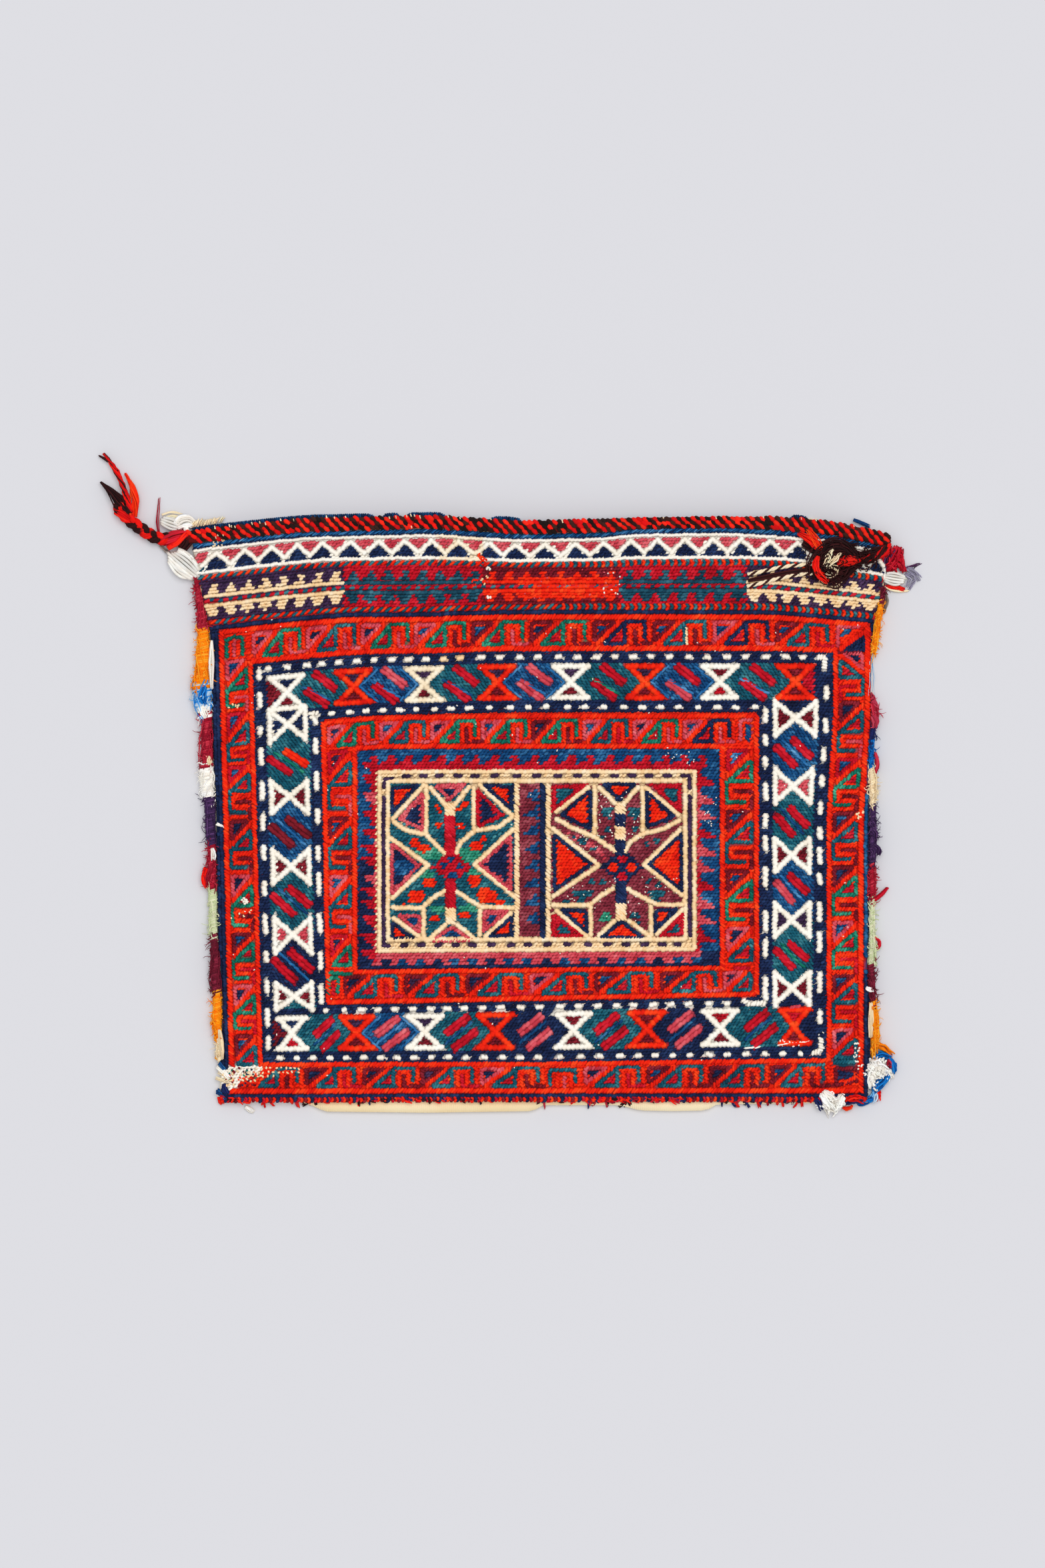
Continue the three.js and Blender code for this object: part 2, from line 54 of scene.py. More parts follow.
lying = {  # how the cloth strays from the straight chart once it is on the ground
    "leftLean": 15, "leftLeanX": (530, 460), "leftLeanY": (950, 1590),
    "rightLean": -10, "rightLeanX": (1150, 1220), "rightLeanY": (1050, 1250),
    "leftDroop": 0.11, "leftSoft": 25, "leftDroopEnd": (1085, 1200),
    "leftDroopFrom": ((800, 470), (930, 540), (1000, 570)),
    "rightDroop": ((800, 0.25), (880, 0.1), (940, 0.08), (990, 0)), "rightSoft": 20,
    "rightDroopFrom": ((800, 1240), (880, 1150), (940, 1160)),
    "ripple": ((400, 0), (500, 1), (600, -1), (650, -2), (700, 1), (780, 6), (850, 4.5), (900, 3.5),
               (950, -2), (1000, -3), (1100, -4), (1150, -1), (1200, 2), (1250, 4), (1300, 2)),
    "rippleRows": (875, 806),
    "tilt": -6, "tiltMiddle": 805, "tiltReach": 315,
    "tiltRight": ((1402, 0), (1497, 1), (1590, 0.75), (1636, 0)),
    "tiltLeft": ((1402, 0), (1497, 1), (1590, 0.1)),
    "bow": 4, "bowMiddle": 600, "bowWide": 110, "bowStart": (860, 900), "bowEnd": (1050, 1110),
}


def linear(red, green, blue):  # screen colour, 0 to 255, as light
    shares = np.array((red, green, blue)) / 255
    light = np.where(shares <= 0.04045, shares / 12.92, ((shares + 0.055) / 1.055) ** 2.4)
    return (*light.tolist(), 1.0)


def ease(value):
    share = np.clip(value, 0, 1)
    return share * share * (3 - 2 * share)


def spanShare(value, span):  # 0 at the start of a span, 1 at its end
    return np.clip((value - span[0]) / (span[1] - span[0]), 0, 1)


def rising(value, softness):  # 0 below zero, then straight up, with a soft start
    return 0.5 * (value + np.sqrt(value * value + softness * softness)) - softness * 0.1


def valueAt(points, place):  # read between pairs of a place and its value
    pairs = np.array(points, float)
    return np.interp(place, pairs[:, 0], pairs[:, 1])


def lay(x, y):  # where a point of the straight chart lies once the cloth is on the ground
    x, y = np.asarray(x, float), np.asarray(y, float)
    leanLeft = lying["leftLean"] * ease(spanShare(x, lying["leftLeanX"])) * spanShare(y, lying["leftLeanY"])
    leanRight = lying["rightLean"] * ease(spanShare(x, lying["rightLeanX"]))
    leanRight = leanRight * ease(spanShare(y, lying["rightLeanY"]))
    droopLeft = lying["leftDroop"] * rising(valueAt(lying["leftDroopFrom"], y) - x, lying["leftSoft"])
    droopLeft = droopLeft * (1 - ease(spanShare(y, lying["leftDroopEnd"])))
    droopRight = rising(x - valueAt(lying["rightDroopFrom"], y), lying["rightSoft"])
    droopRight = valueAt(lying["rightDroop"], y) * droopRight
    wave = valueAt(lying["ripple"], x) * spanShare(y, lying["rippleRows"])
    turned = lying["tilt"] * (x - lying["tiltMiddle"]) / lying["tiltReach"]
    tiltRight, tiltLeft = valueAt(lying["tiltRight"], y), valueAt(lying["tiltLeft"], y)
    tilt = turned * np.where(x > lying["tiltMiddle"], tiltRight, tiltLeft)
    bow = lying["bow"] * np.exp(-((x - lying["bowMiddle"]) / lying["bowWide"]) ** 2)
    bow = bow * ease(spanShare(y, lying["bowStart"])) * (1 - ease(spanShare(y, lying["bowEnd"])))
    return x + leanLeft + leanRight, y + droopLeft + droopRight + wave + tilt + bow


def unlay(x, y):  # the chart point that lies at a given place
    atX, atY = np.asarray(x, float), np.asarray(y, float)
    for _ in range(6):
        nowX, nowY = lay(atX, atY)
        atX, atY = atX + x - nowX, atY + y - nowY
    return atX, atY


def onGround(x, y):  # lying chart units to metres
    return (x - chart["middleX"]) * chart["unit"], (chart["middleY"] - y) * chart["unit"]


def frontUnder(x, y):  # underside of the front over lying chart units, in metres
    left, right = valueAt(cloth["leftEdge"], y), valueAt(cloth["rightEdge"], y)
    inward = (1 - np.abs(2 * (x - left) / (right - left) - 1)) * cloth["halfWidth"]
    upward = (chart["foot"] - y) * chart["unit"]
    lift = cloth["rise"] * ease(inward / cloth["sideRamp"]) * ease(upward / cloth["footRamp"])
    return cloth["backThickness"] + cloth["seamGap"] + lift


def gentleWaves(x, y):  # slight unevenness of a cloth that has been carried folded
    high, wideX, wideY, slanting = cloth["waves"]
    startX, startY = cloth["waveStart"]
    even = np.sin(x / wideX + startX) * np.sin(y / wideY + startY)
    return high * (even + cloth["slantShare"] * np.sin((x + y) / slanting))


def frontTop(x, y):
    return frontUnder(x, y) + cloth["frontThickness"] - cloth["stitchBed"] + gentleWaves(x, y)


def newObject(name, mesh, material=None):
    piece = bpy.data.objects.new(name, mesh)
    bpy.context.scene.collection.objects.link(piece)
    if material:
        mesh.materials.append(material)
    return piece


def addShade(mesh, values):  # a light or dark turn of each stitch, for its dye
    layer = mesh.attributes.new("shade", "FLOAT", "POINT")
    layer.data.foreach_set("value", np.ascontiguousarray(values, np.float32))


def addColour(mesh, colours):
    layer = mesh.color_attributes.new("yarnColour", "FLOAT_COLOR", "POINT")
    layer.data.foreach_set("color", np.ascontiguousarray(colours, np.float32).ravel())


# Dyed wools: deep, main and light turns of each
yarns = {
    "scarlet": ((206, 14, 2), (246, 36, 4), (255, 86, 30)),
    "crimson": ((150, 4, 22), (198, 8, 34), (228, 44, 62)),
    "maroon": ((84, 10, 24), (122, 17, 34), (160, 42, 56)),
    "wine": ((100, 26, 42), (138, 44, 60), (186, 98, 108)),
    "rose": ((182, 44, 60), (214, 74, 88), (240, 128, 134)),
    "navy": ((12, 20, 50), (20, 36, 76), (42, 66, 112)),
    "aubergine": ((40, 24, 50), (58, 36, 70), (88, 62, 100)),
    "blue": ((6, 46, 90), (8, 70, 122), (72, 140, 188)),
    "sky": ((16, 74, 130), (34, 108, 168), (110, 170, 214)),
    "teal": ((8, 58, 78), (16, 90, 110), (78, 150, 158)),
    "green": ((6, 76, 68), (8, 118, 98), (80, 184, 150)),
    "petrol": ((10, 48, 68), (22, 77, 98), (76, 134, 152)),
    "mint": ((16, 106, 84), (44, 146, 118), (120, 196, 168)),
    "ivory": ((246, 236, 218), (255, 248, 235), (255, 253, 246)),
    "bone": ((240, 218, 184), (253, 236, 206), (255, 248, 230)),
    "cream": ((240, 198, 142), (254, 221, 174), (255, 239, 208)),
}

finishes = {
    "wool": {"roughness": 0.9, "specular": 0.2, "dye": 90, "stops": (0.16, 0.5, 0.92), "fibre": 1500,
             "fuzz": 0.3},
    "yarn": {"roughness": 0.92, "specular": 0.2, "fibre": 900, "fuzz": 0.35},
    "ground": {"roughness": 0.92, "specular": 0.2, "fibre": 1200, "fuzz": 0.5},
    "cotton": {"roughness": 0.95, "specular": 0.15, "thread": 260, "wander": 1.5, "relief": 0.4, "age": 14,
               "stops": (0.3, 0.65)},
    "floor": {"roughness": 1, "specular": 0},
    "bumpHeight": 0.0004,
}


def startMaterial(name, finish):
    material = bpy.data.materials.new(name)
    material.use_nodes = True
    tree = material.node_tree
    shader = tree.nodes["Principled BSDF"]
    shader.inputs["Roughness"].default_value = finish["roughness"]
    shader.inputs["Specular IOR Level"].default_value = finish["specular"]
    return material, tree.nodes, tree.links, shader


def addTexture(nodes, links, kind, **values):  # a texture on the piece's own coordinates
    coordinates = nodes.new("ShaderNodeTexCoord")
    texture = nodes.new(kind)
    for name, value in values.items():
        texture.inputs[name].default_value = value
    links.new(coordinates.outputs["Object"], texture.inputs["Vector"])
    return texture


def addRelief(nodes, links, shader, texture, strength):
    bump = nodes.new("ShaderNodeBump")
    bump.inputs["Strength"].default_value = strength
    bump.inputs["Distance"].default_value = finishes["bumpHeight"]
    links.new(texture.outputs["Fac"], bump.inputs["Height"])
    links.new(bump.outputs["Normal"], shader.inputs["Normal"])


def addRamp(nodes, links, shader, stops, tones):
    ramp = nodes.new("ShaderNodeValToRGB")
    for _ in stops[2:]:
        ramp.color_ramp.elements.new(0.5)
    for stop, place, tone in zip(ramp.color_ramp.elements, stops, tones):
        stop.position = place
        stop.color = linear(*tone)
    links.new(ramp.outputs["Color"], shader.inputs["Base Color"])
    return ramp


def woolMaterial(name, tones):
    finish = finishes["wool"]
    material, nodes, links, shader = startMaterial(name, finish)
    dye = addTexture(nodes, links, "ShaderNodeTexNoise", Scale=finish["dye"], Detail=3)
    shade = nodes.new("ShaderNodeAttribute")
    shade.attribute_name = "shade"
    turn = nodes.new("ShaderNodeMath")
    turn.operation = "ADD"
    ramp = addRamp(nodes, links, shader, finish["stops"], tones)
    links.new(dye.outputs["Fac"], turn.inputs[0])
    links.new(shade.outputs["Fac"], turn.inputs[1])
    links.new(turn.outputs[0], ramp.inputs["Fac"])
    fibres = addTexture(nodes, links, "ShaderNodeTexNoise", Scale=finish["fibre"], Detail=2)
    addRelief(nodes, links, shader, fibres, finish["fuzz"])
    return material


def tintedMaterial(name, finish):  # yarn whose colour is stored along it
    material, nodes, links, shader = startMaterial(name, finish)
    stored = nodes.new("ShaderNodeAttribute")
    stored.attribute_name = "yarnColour"
    links.new(stored.outputs["Color"], shader.inputs["Base Color"])
    fibres = addTexture(nodes, links, "ShaderNodeTexNoise", Scale=finish["fibre"], Detail=2)
    addRelief(nodes, links, shader, fibres, finish["fuzz"])
    return material


# Drawing on the chart: patches of filled weave, and ropes of wrapped stitches along a line
weave = {"rowPitch": 4.6, "stitchPitch": 5.4, "left": 280.0, "right": 1340.0, "fieldLean": 28.0,
         "mouthGap": 2, "footGap": 8, "grain": (8.6, 6.0)}
ropes = {"steep": 30, "overlap": 1.02, "broad": 1.3, "mixedBroad": 1.35, "flatLong": 1.75,
         "flatBroad": 1.15, "inset": 0.6, "lift": 1.0,
         "speckLong": (0.8, 1.4), "speckBroad": 0.8, "speckLift": 1.8}
gridX, gridY = np.meshgrid(
    np.arange(weave["left"], weave["right"], weave["stitchPitch"]),
    np.arange(chart["mouth"] + weave["mouthGap"], chart["foot"] - weave["footGap"], weave["rowPitch"]))
gridX = gridX + (np.arange(len(gridX)) % 2)[:, None] * weave["stitchPitch"] / 2
yarnNames = list(yarns)
fieldYarn = np.full(gridX.shape, yarnNames.index("navy"))
fieldLean = np.full(gridX.shape, weave["fieldLean"])
roped = np.zeros(gridX.shape, bool)
ropeStitches = []


def near(lowX, lowY, highX, highY):  # the part of the grid in a box
    rows = slice(max(0, int((lowY - gridY[0, 0]) / weave["rowPitch"])),
                 max(0, int((highY - gridY[0, 0]) / weave["rowPitch"]) + 2))
    columns = slice(max(0, int((lowX - weave["left"]) / weave["stitchPitch"]) - 1),
                    max(0, int((highX - weave["left"]) / weave["stitchPitch"]) + 2))
    return rows, columns


def within(corners, x, y):
    inside = np.zeros(x.shape, bool)
    for (ax, ay), (bx, by) in zip(corners, corners[1:] + corners[:1]):
        if ay != by:
            inside ^= ((ay > y) != (by > y)) & (x < (bx - ax) * (y - ay) / (by - ay) + ax)
    return inside


def patch(yarn, *corners, lean=None):
    xs, ys = zip(*corners)
    where = near(min(xs), min(ys), max(xs), max(ys))
    inside = within(corners, gridX[where], gridY[where])
    fieldYarn[where][inside] = yarnNames.index(yarn)
    fieldLean[where][inside] = weave["fieldLean"] if lean is None else lean
    roped[where][inside] = False


def box(yarn, lowX, lowY, highX, highY, lean=None):
    patch(yarn, (lowX, lowY), (highX, lowY), (highX, highY), (lowX, highY), lean=lean)


def rope(yarn, points, width=8.0, lean=48.0, pitch=4.5):
    run = [yarn] if isinstance(yarn, str) else list(yarn)
    line = np.array(points, float)
    steps = np.diff(line, axis=0)
    lengths = np.hypot(steps[:, 0], steps[:, 1])
    along = np.concatenate(([0], np.cumsum(lengths)))
    count = max(1, round(along[-1] / pitch))
    stretch = along[-1] / count
    at = (np.arange(count) + 0.5) * along[-1] / count
    x, y = np.interp(at, along, line[:, 0]), np.interp(at, along, line[:, 1])
    which = np.clip(np.searchsorted(along, at) - 1, 0, len(steps) - 1)
    heading = np.degrees(np.arctan2(-steps[which, 1], steps[which, 0]))
    if lean >= ropes["steep"]:  # stitches over the line
        slope = math.sin(math.radians(lean))
        length = width / slope * ropes["overlap"]
        broad = stretch * (ropes["broad"] if len(run) == 1 else ropes["mixedBroad"] * slope)
    else:  # stitches along it
        length, broad = stretch * ropes["flatLong"], width * ropes["flatBroad"]
    for turn, name in enumerate(run):
        own = slice(turn, None, len(run))
        ropeStitches.append((name, x[own], y[own], heading[own] + lean, length, broad, ropes["lift"]))
    reach = width / 2 - ropes["inset"]
    for (ax, ay), (sx, sy), size in zip(line, steps, lengths):
        where = near(min(ax, ax + sx) - reach, min(ay, ay + sy) - reach,
                     max(ax, ax + sx) + reach, max(ay, ay + sy) + reach)
        px, py = gridX[where] - ax, gridY[where] - ay
        nearest = np.clip((px * sx + py * sy) / max(size * size, 1e-6), 0, 1)
        close = np.hypot(px - nearest * sx, py - nearest * sy) < reach
        roped[where][close] = True
        fieldYarn[where][close] = yarnNames.index(run[0])


def satin(yarn, points, width):  # smooth stitches that follow the line
    rope(yarn, points, width, lean=12, pitch=5.5)


def row(y, start=weave["left"], end=weave["right"]):
    return [(start, y), (end, y)]


def column(x, start, end):
    return [(x, start), (x, end)]


def closed(*points):
    return [*points, points[0]]


def frameOf(left, top, right, bottom):
    return closed((left, top), (right, top), (right, bottom), (left, bottom))


def seen(*points):  # chart places of points given as they lie
    return [tuple(float(v) for v in unlay(*point)) for point in points]


def seenX(x, y):
    return float(unlay(x, y)[0])


def seenY(x, y):
    return float(unlay(x, y)[1])


def specks(yarn, x, y, size):  # single worn stitches
    count = len(x)
    turned, long = chance.uniform(0, 180, count), size * chance.uniform(*ropes["speckLong"], count)
    ropeStitches.append((yarn, np.asarray(x, float), np.asarray(y, float), turned, long,
                         size * ropes["speckBroad"], ropes["speckLift"]))


rings = {  # middles of the scarlet frame lines: left, mouth side, right, foot side
    "outer": (333, 927, 1301, 1636), "outerInner": (376, 974, 1253, 1596),
    "inner": (484, 1075, 1134, 1497), "innerInner": (533, 1120, 1083, 1455),
}
mainBand = (398, 996, 1228, 1575), (461, 1052, 1158, 1517)

mouthBands = {  # rows down the chart, some with the width of their line
    "edgeRow": 800.5, "fadedTo": 570, "toothed": (805, 843), "ivoryRows": ((807.5, 5.5), (839.7, 6.5)),
    "teeth": (325, 368, 408, 447, 484, 526, 569, 608, 648, 688, 735, 773, 817, 864, 905, 946, 986,
              1027, 1069, 1112, 1155, 1197, 1238, 1279, 1317),
    "tooth": (821, 837), "toothHalf": (4, 17), "rose": (810, 827), "roseHalf": 18,
    "wornRose": ((280, 809), (318, 809), (304, 827), (280, 827)),
    "zigzagStart": (302, 831), "zigzag": (814, 832), "zigzagWidth": 8.2,
    "twoDyeRows": ((846.8, 8), (911.5, 8.5)), "turn": 842.0, "navyRow": 919.5,
    "combs": ((280, 517, "cream", "aubergine"), (517, 724, "petrol", "crimson"),
              (724, 928, "scarlet", "maroon"), (928, 1119, "petrol", "crimson"),
              (1119, 1340, "cream", "aubergine")),
    "combRows": (850.5, 907), "spines": ((874.5, 6.4), (887.5, 6.8)), "middleRow": 881,
    "rubbed": (775, 865, 924, 901), "rubbedSpine": (800, 928),
    "treeSteps": ((0, 865, 873, 9), (2, 858, 866, 4.5), (0, 889, 897, 9), (0, 896, 904, 4.5)),
    "treePitch": 25.7,
}


def twoDyeLine(y, width):  # slanting strokes, then arrowheads from the turn on
    rope(("scarlet", "teal"), row(y, end=mouthBands["turn"]), width, pitch=6.4, lean=38)
    for side, lean in ((-1, 135), (1, 45)):
        strokes = row(y + side * width / 4, start=mouthBands["turn"])
        rope(("scarlet", "teal"), strokes, width / 2 + 1.5, pitch=6, lean=lean)


def drawTeeth():
    low, high = weave["left"], weave["right"]
    (toothTop, toothFoot), (tip, base) = mouthBands["tooth"], mouthBands["toothHalf"]
    (roseTop, roseTip), half = mouthBands["rose"], mouthBands["roseHalf"]
    peak, valley = mouthBands["zigzag"]
    (upperRow, upperWidth), (lowerRow, lowerWidth) = mouthBands["ivoryRows"]
    box("ivory", low, mouthBands["toothed"][0], high, mouthBands["toothed"][1])
    patch("rose", *mouthBands["wornRose"])
    zigzag = [mouthBands["zigzagStart"]]
    for here, after in zip(mouthBands["teeth"], (*mouthBands["teeth"][1:], high)):
        middle = (here + after) / 2
        patch("navy", (here - base, toothFoot), (here - tip, toothTop), (here + tip, toothTop),
              (here + base, toothFoot))
        patch("rose", (middle - half, roseTop), (middle + half, roseTop), (middle, roseTip))
        zigzag += [(here, peak), (middle, valley)]
    satin("ivory", row(upperRow), upperWidth)
    satin("ivory", zigzag, mouthBands["zigzagWidth"])
    satin("ivory", row(lowerRow), lowerWidth)


def drawCombs():
    top, foot = mouthBands["combRows"]
    for start, end, tree, ground in mouthBands["combs"]:
        box(ground, start, top, end, foot)
        if tree == "scarlet":  # rubbed until little of its ground shows
            box(tree, *mouthBands["rubbed"])
        for y, width in mouthBands["spines"]:
            satin(tree, row(y, start, end), width)
        count = round((end - start) / mouthBands["treePitch"])
        for index in range(count):
            middle = start + (index + 0.5) * (end - start) / count
            for aside, upper, lower, half in mouthBands["treeSteps"]:
                box(tree, middle + aside - half, upper, middle + aside + half, lower, lean=12)
    rope(("crimson", "teal"), row(mouthBands["middleRow"]), 5.5, pitch=7, lean=12)
    satin("scarlet", row(mouthBands["middleRow"], *mouthBands["rubbedSpine"]), 8)


def drawMouthBands():
    rope(("sky", "sky", "blue"), row(mouthBands["edgeRow"], end=mouthBands["fadedTo"]), 7, lean=32)
    rope(("sky", "blue", "blue"), row(mouthBands["edgeRow"], start=mouthBands["fadedTo"]), 7, lean=32)
    drawTeeth()
    upper, lower = mouthBands["twoDyeRows"]
    twoDyeLine(*upper)
    drawCombs()
    twoDyeLine(*lower)
    rope("navy", row(mouthBands["navyRow"]), 7, lean=20)


def hookedUnit(place, length, depth, rim, core, leaf, inner, whole=True):
    unitLong, unitDeep = smallBorder["unit"]
    along, across = length / unitLong, depth / unitDeep

    def at(s, t):
        return place(s * along, t * across)

    patch(core, at(8, 8), at(24, 8), at(8, 25))
    patch("crimson", at(41, 14), at(41, 34), at(26, 34))
    rope(rim, closed(at(4, 4), at(31, 4), at(4, 32)), 6.2)
    rope("scarlet", [at(39, 3), at(22, 20), at(7, 38)], 8.5)
    rope(leaf, closed(at(45, 5), at(45, 37), at(18, 37)), 6.4)
    if whole:
        rope("scarlet", [at(53, 38), at(53, 8), at(66, 8), at(66, 38)], 7)
        rope(inner, [at(59.5, 14), at(59.5, 37), at(82, 37)], 5.6)
        rope(leaf, [at(45, 2.5), at(73, 2.5), at(73, 29)], 5.8)
        rope("scarlet", [at(79, 3), at(79, 33)], 6)


smallBorder = {  # where each hooked unit starts, and the dyes of its rim, core, leaf and inner line
    "top": """
        378 rose navy green rose, 459 rose navy teal rose, 541 rose navy green rose,
        621 rose blue green maroon, 706 maroon blue green rose, 793 maroon navy green maroon,
        887 maroon blue navy maroon, 977 maroon blue teal maroon, 1067 rose blue navy rose,
        1161 maroon blue teal crimson, 1250 end""",
    "bottom": """
        455 maroon navy teal crimson, 543 maroon navy teal maroon,
        630 maroon aubergine teal crimson, 718 rose navy teal maroon, 818 end,
        874 rose navy teal crimson, 968 maroon blue teal maroon, 1062 maroon navy teal maroon,
        1153 maroon blue teal maroon, 1246 end""",
    "left": """
        989 rose blue green rose, 1068 crimson blue teal crimson, 1148 crimson blue teal maroon,
        1229 maroon navy teal maroon, 1311 rose navy green maroon, 1398 maroon blue green crimson,
        1476 rose navy green crimson, 1551 maroon blue teal part, 1602 end""",
    "right": """
        978 rose navy teal crimson, 1051 maroon navy teal rose, 1136 crimson blue green maroon,
        1217 maroon blue teal maroon, 1298 maroon navy green maroon, 1380 rose blue green crimson,
        1460 maroon blue teal crimson, 1541 rose navy teal part, 1592 end""",
    "innerTop": """
        491 rose navy green rose, 569 rose blue teal rose, 645 rose navy green maroon,
        721 rose blue green rose, 797 maroon navy green maroon, 873 rose blue teal crimson,
        948 rose navy green rose, 1023 rose blue navy rose, 1102 end""",
    "innerBottom": """
        515 maroon navy teal crimson, 605 maroon aubergine teal maroon,
        697 maroon navy teal crimson, 793 rose navy teal maroon, 890 maroon blue teal crimson,
        988 maroon navy teal rose, 1083 rose aubergine teal part, 1130 end""",
    "innerLeft": """
        1124 crimson aubergine teal rose, 1224 maroon blue teal maroon, 1311 rose blue teal rose,
        1400 crimson navy green part, 1453 end""",
    "innerRight": """
        1122 crimson sky green maroon, 1213 maroon blue teal maroon, 1304 maroon blue green maroon,
        1388 rose navy teal part, 1446 end""",
    "unit": (82, 40),  # how long and how deep a hooked unit is drawn
    "margins": (4.5, 4), "partShare": 1.64,
    "widths": {"outer": 9.5, "outerInner": 8.5, "inner": 8.5, "innerInner": 8.5},
    "rimGap": 7.5, "rimStep": 5, "rimWidth": 6.5, "blueRim": (1110, 1480),
}


def unitsOf(name):
    units = (unit.split() for unit in smallBorder[name].split(","))
    return [(float(start), dyes) for start, *dyes in units]


def rowPlace(startX, startY):
    return lambda s, t: (startX + s, startY + t)


def columnPlace(startX, startY):
    return lambda s, t: (startX + t, startY + s)


def mirroredColumn(startX, startY, depth):
    return lambda s, t: (startX + depth - t, startY + s)


def drawUnit(place, length, depth, dyes):
    if dyes[-1] == "part":
        hookedUnit(place, length * smallBorder["partShare"], depth, *dyes[:3], "crimson", whole=False)
    elif dyes[0] != "end":
        hookedUnit(place, length, depth, *dyes)


def drawSmallBorder(outside, inside, topName, bottomName, leftName, rightName):
    left, top, right, bottom = rings[outside]
    left2, top2, right2, bottom2 = rings[inside]
    outer, inner = smallBorder["margins"]
    box("scarlet", left, top, right, top2)
    box("scarlet", left, bottom2, right, bottom)
    box("scarlet", left, top, left2, bottom)
    box("scarlet", right2, top, right, bottom)
    for name, low, high in ((topName, top + outer, top2 - inner),
                            (bottomName, bottom2 + inner, bottom - outer)):
        units = [(seenX(x, (low + high) / 2), dyes) for x, dyes in unitsOf(name)]
        for (start, dyes), (end, _) in zip(units, units[1:]):
            drawUnit(rowPlace(start, low), end - start, high - low, dyes)
    for name, low, high in ((leftName, left + outer, left2 - inner),
                            (rightName, right2 + inner, right - outer)):
        units = [(seenY((low + high) / 2, y), dyes) for y, dyes in unitsOf(name)]
        for (start, dyes), (end, _) in zip(units, units[1:]):
            mirrored = name == "right" and dyes == units[0][1]
            place = mirroredColumn(low, start, high - low) if mirrored else columnPlace(low, start)
            drawUnit(place, end - start, high - low, dyes)


def drawSmallBorders():
    drawSmallBorder("outer", "outerInner", "top", "bottom", "left", "right")
    drawSmallBorder("inner", "innerInner", "innerTop", "innerBottom", "innerLeft", "innerRight")
    drawCorners()
    for name, width in smallBorder["widths"].items():
        rope("scarlet", frameOf(*rings[name]), width)
    left, top, right, bottom = rings["outer"]
    width = smallBorder["rimWidth"]
    gap = smallBorder["rimGap"]
    west, east, south = left - gap, right + gap, bottom + gap
    rope("navy", [(west, top), (west, south), (east, south)], width, lean=20)
    rope("navy", column(west - smallBorder["rimStep"], top, bottom), width, lean=20)
    blueTop, blueFoot = smallBorder["blueRim"]
    for yarn, low, high in (("navy", top, blueTop), ("blue", blueTop, blueFoot), ("navy", blueFoot, south)):
        rope(yarn, column(east, low, high), width, lean=20)


cornerPieces = {  # dye, width and line of each piece that fills the ends of the small borders
    "lines": (
        ("green", 6, ((341, 988), (340, 962), (352, 956), (364, 957), (365, 984))),
        ("rose", 5, ((352, 965), (352, 986))),
        ("rose", 6, ((1256, 972), (1256, 941), (1290, 941))),
        ("scarlet", 8, ((1298, 948), (1258, 976))),
        ("navy", 6, ((1295, 956), (1295, 976), (1268, 976), (1295, 956))),
        ("teal", 8, ((1251, 1593), (1285, 1593))),
        ("maroon", 6, ((1253, 1603), (1287, 1603), (1284, 1622), (1254, 1628), (1253, 1603))),
        ("scarlet", 7, ((1292, 1611), (1264, 1627))),
        ("teal", 6.5, ((416, 1607), (416, 1629), (390, 1629), (416, 1607))),
        ("scarlet", 7, ((424, 1632), (424, 1609), (438, 1609), (438, 1632))),
        ("maroon", 5.5, ((431, 1614), (431, 1632))),
        ("teal", 5.5, ((417, 1603), (446, 1603), (446, 1624))),
        ("scarlet", 6.5, ((453, 1603), (453, 1632))),
        ("teal", 6, ((825, 1628), (825, 1605), (863, 1605), (863, 1625))),
        ("scarlet", 7, ((836, 1632), (836, 1611), (857, 1611), (857, 1632))),
        ("rose", 5.5, ((847, 1614), (847, 1632))),
        ("green", 6, ((494, 1492), (494, 1467), (508, 1467), (508, 1490))),
        ("green", 6, ((494, 1458), (527, 1462))),
        ("crimson", 6, ((501, 1472), (501, 1492))),
        ("rose", 6, ((1110, 1112), (1110, 1081), (1128, 1081))),
        ("blue", 9, ((1122, 1089), (1121, 1111))),
        ("crimson", 6, ((1100, 1452), (1124, 1452))),
        ("maroon", 6, ((1256, 979), (1292, 979))),
        ("rose", 6, ((1184, 1511), (1199, 1509))),
        ("cream", 5, ((1029, 942), (1029, 968)))),
    "spots": (("blue", ((1262, 946), (1276, 946), (1262, 959))),
              ("navy", ((1296, 955), (1296, 976), (1266, 976))),
              ("navy", ((1258, 1605), (1282, 1605), (1280, 1616), (1258, 1620))),
              ("crimson", ((412, 1614), (412, 1626), (398, 1626)))),
}


def drawCorners():
    for yarn, corners in cornerPieces["spots"]:
        patch(yarn, *seen(*corners))
    for yarn, width, line in cornerPieces["lines"]:
        rope(yarn, seen(*line), width)


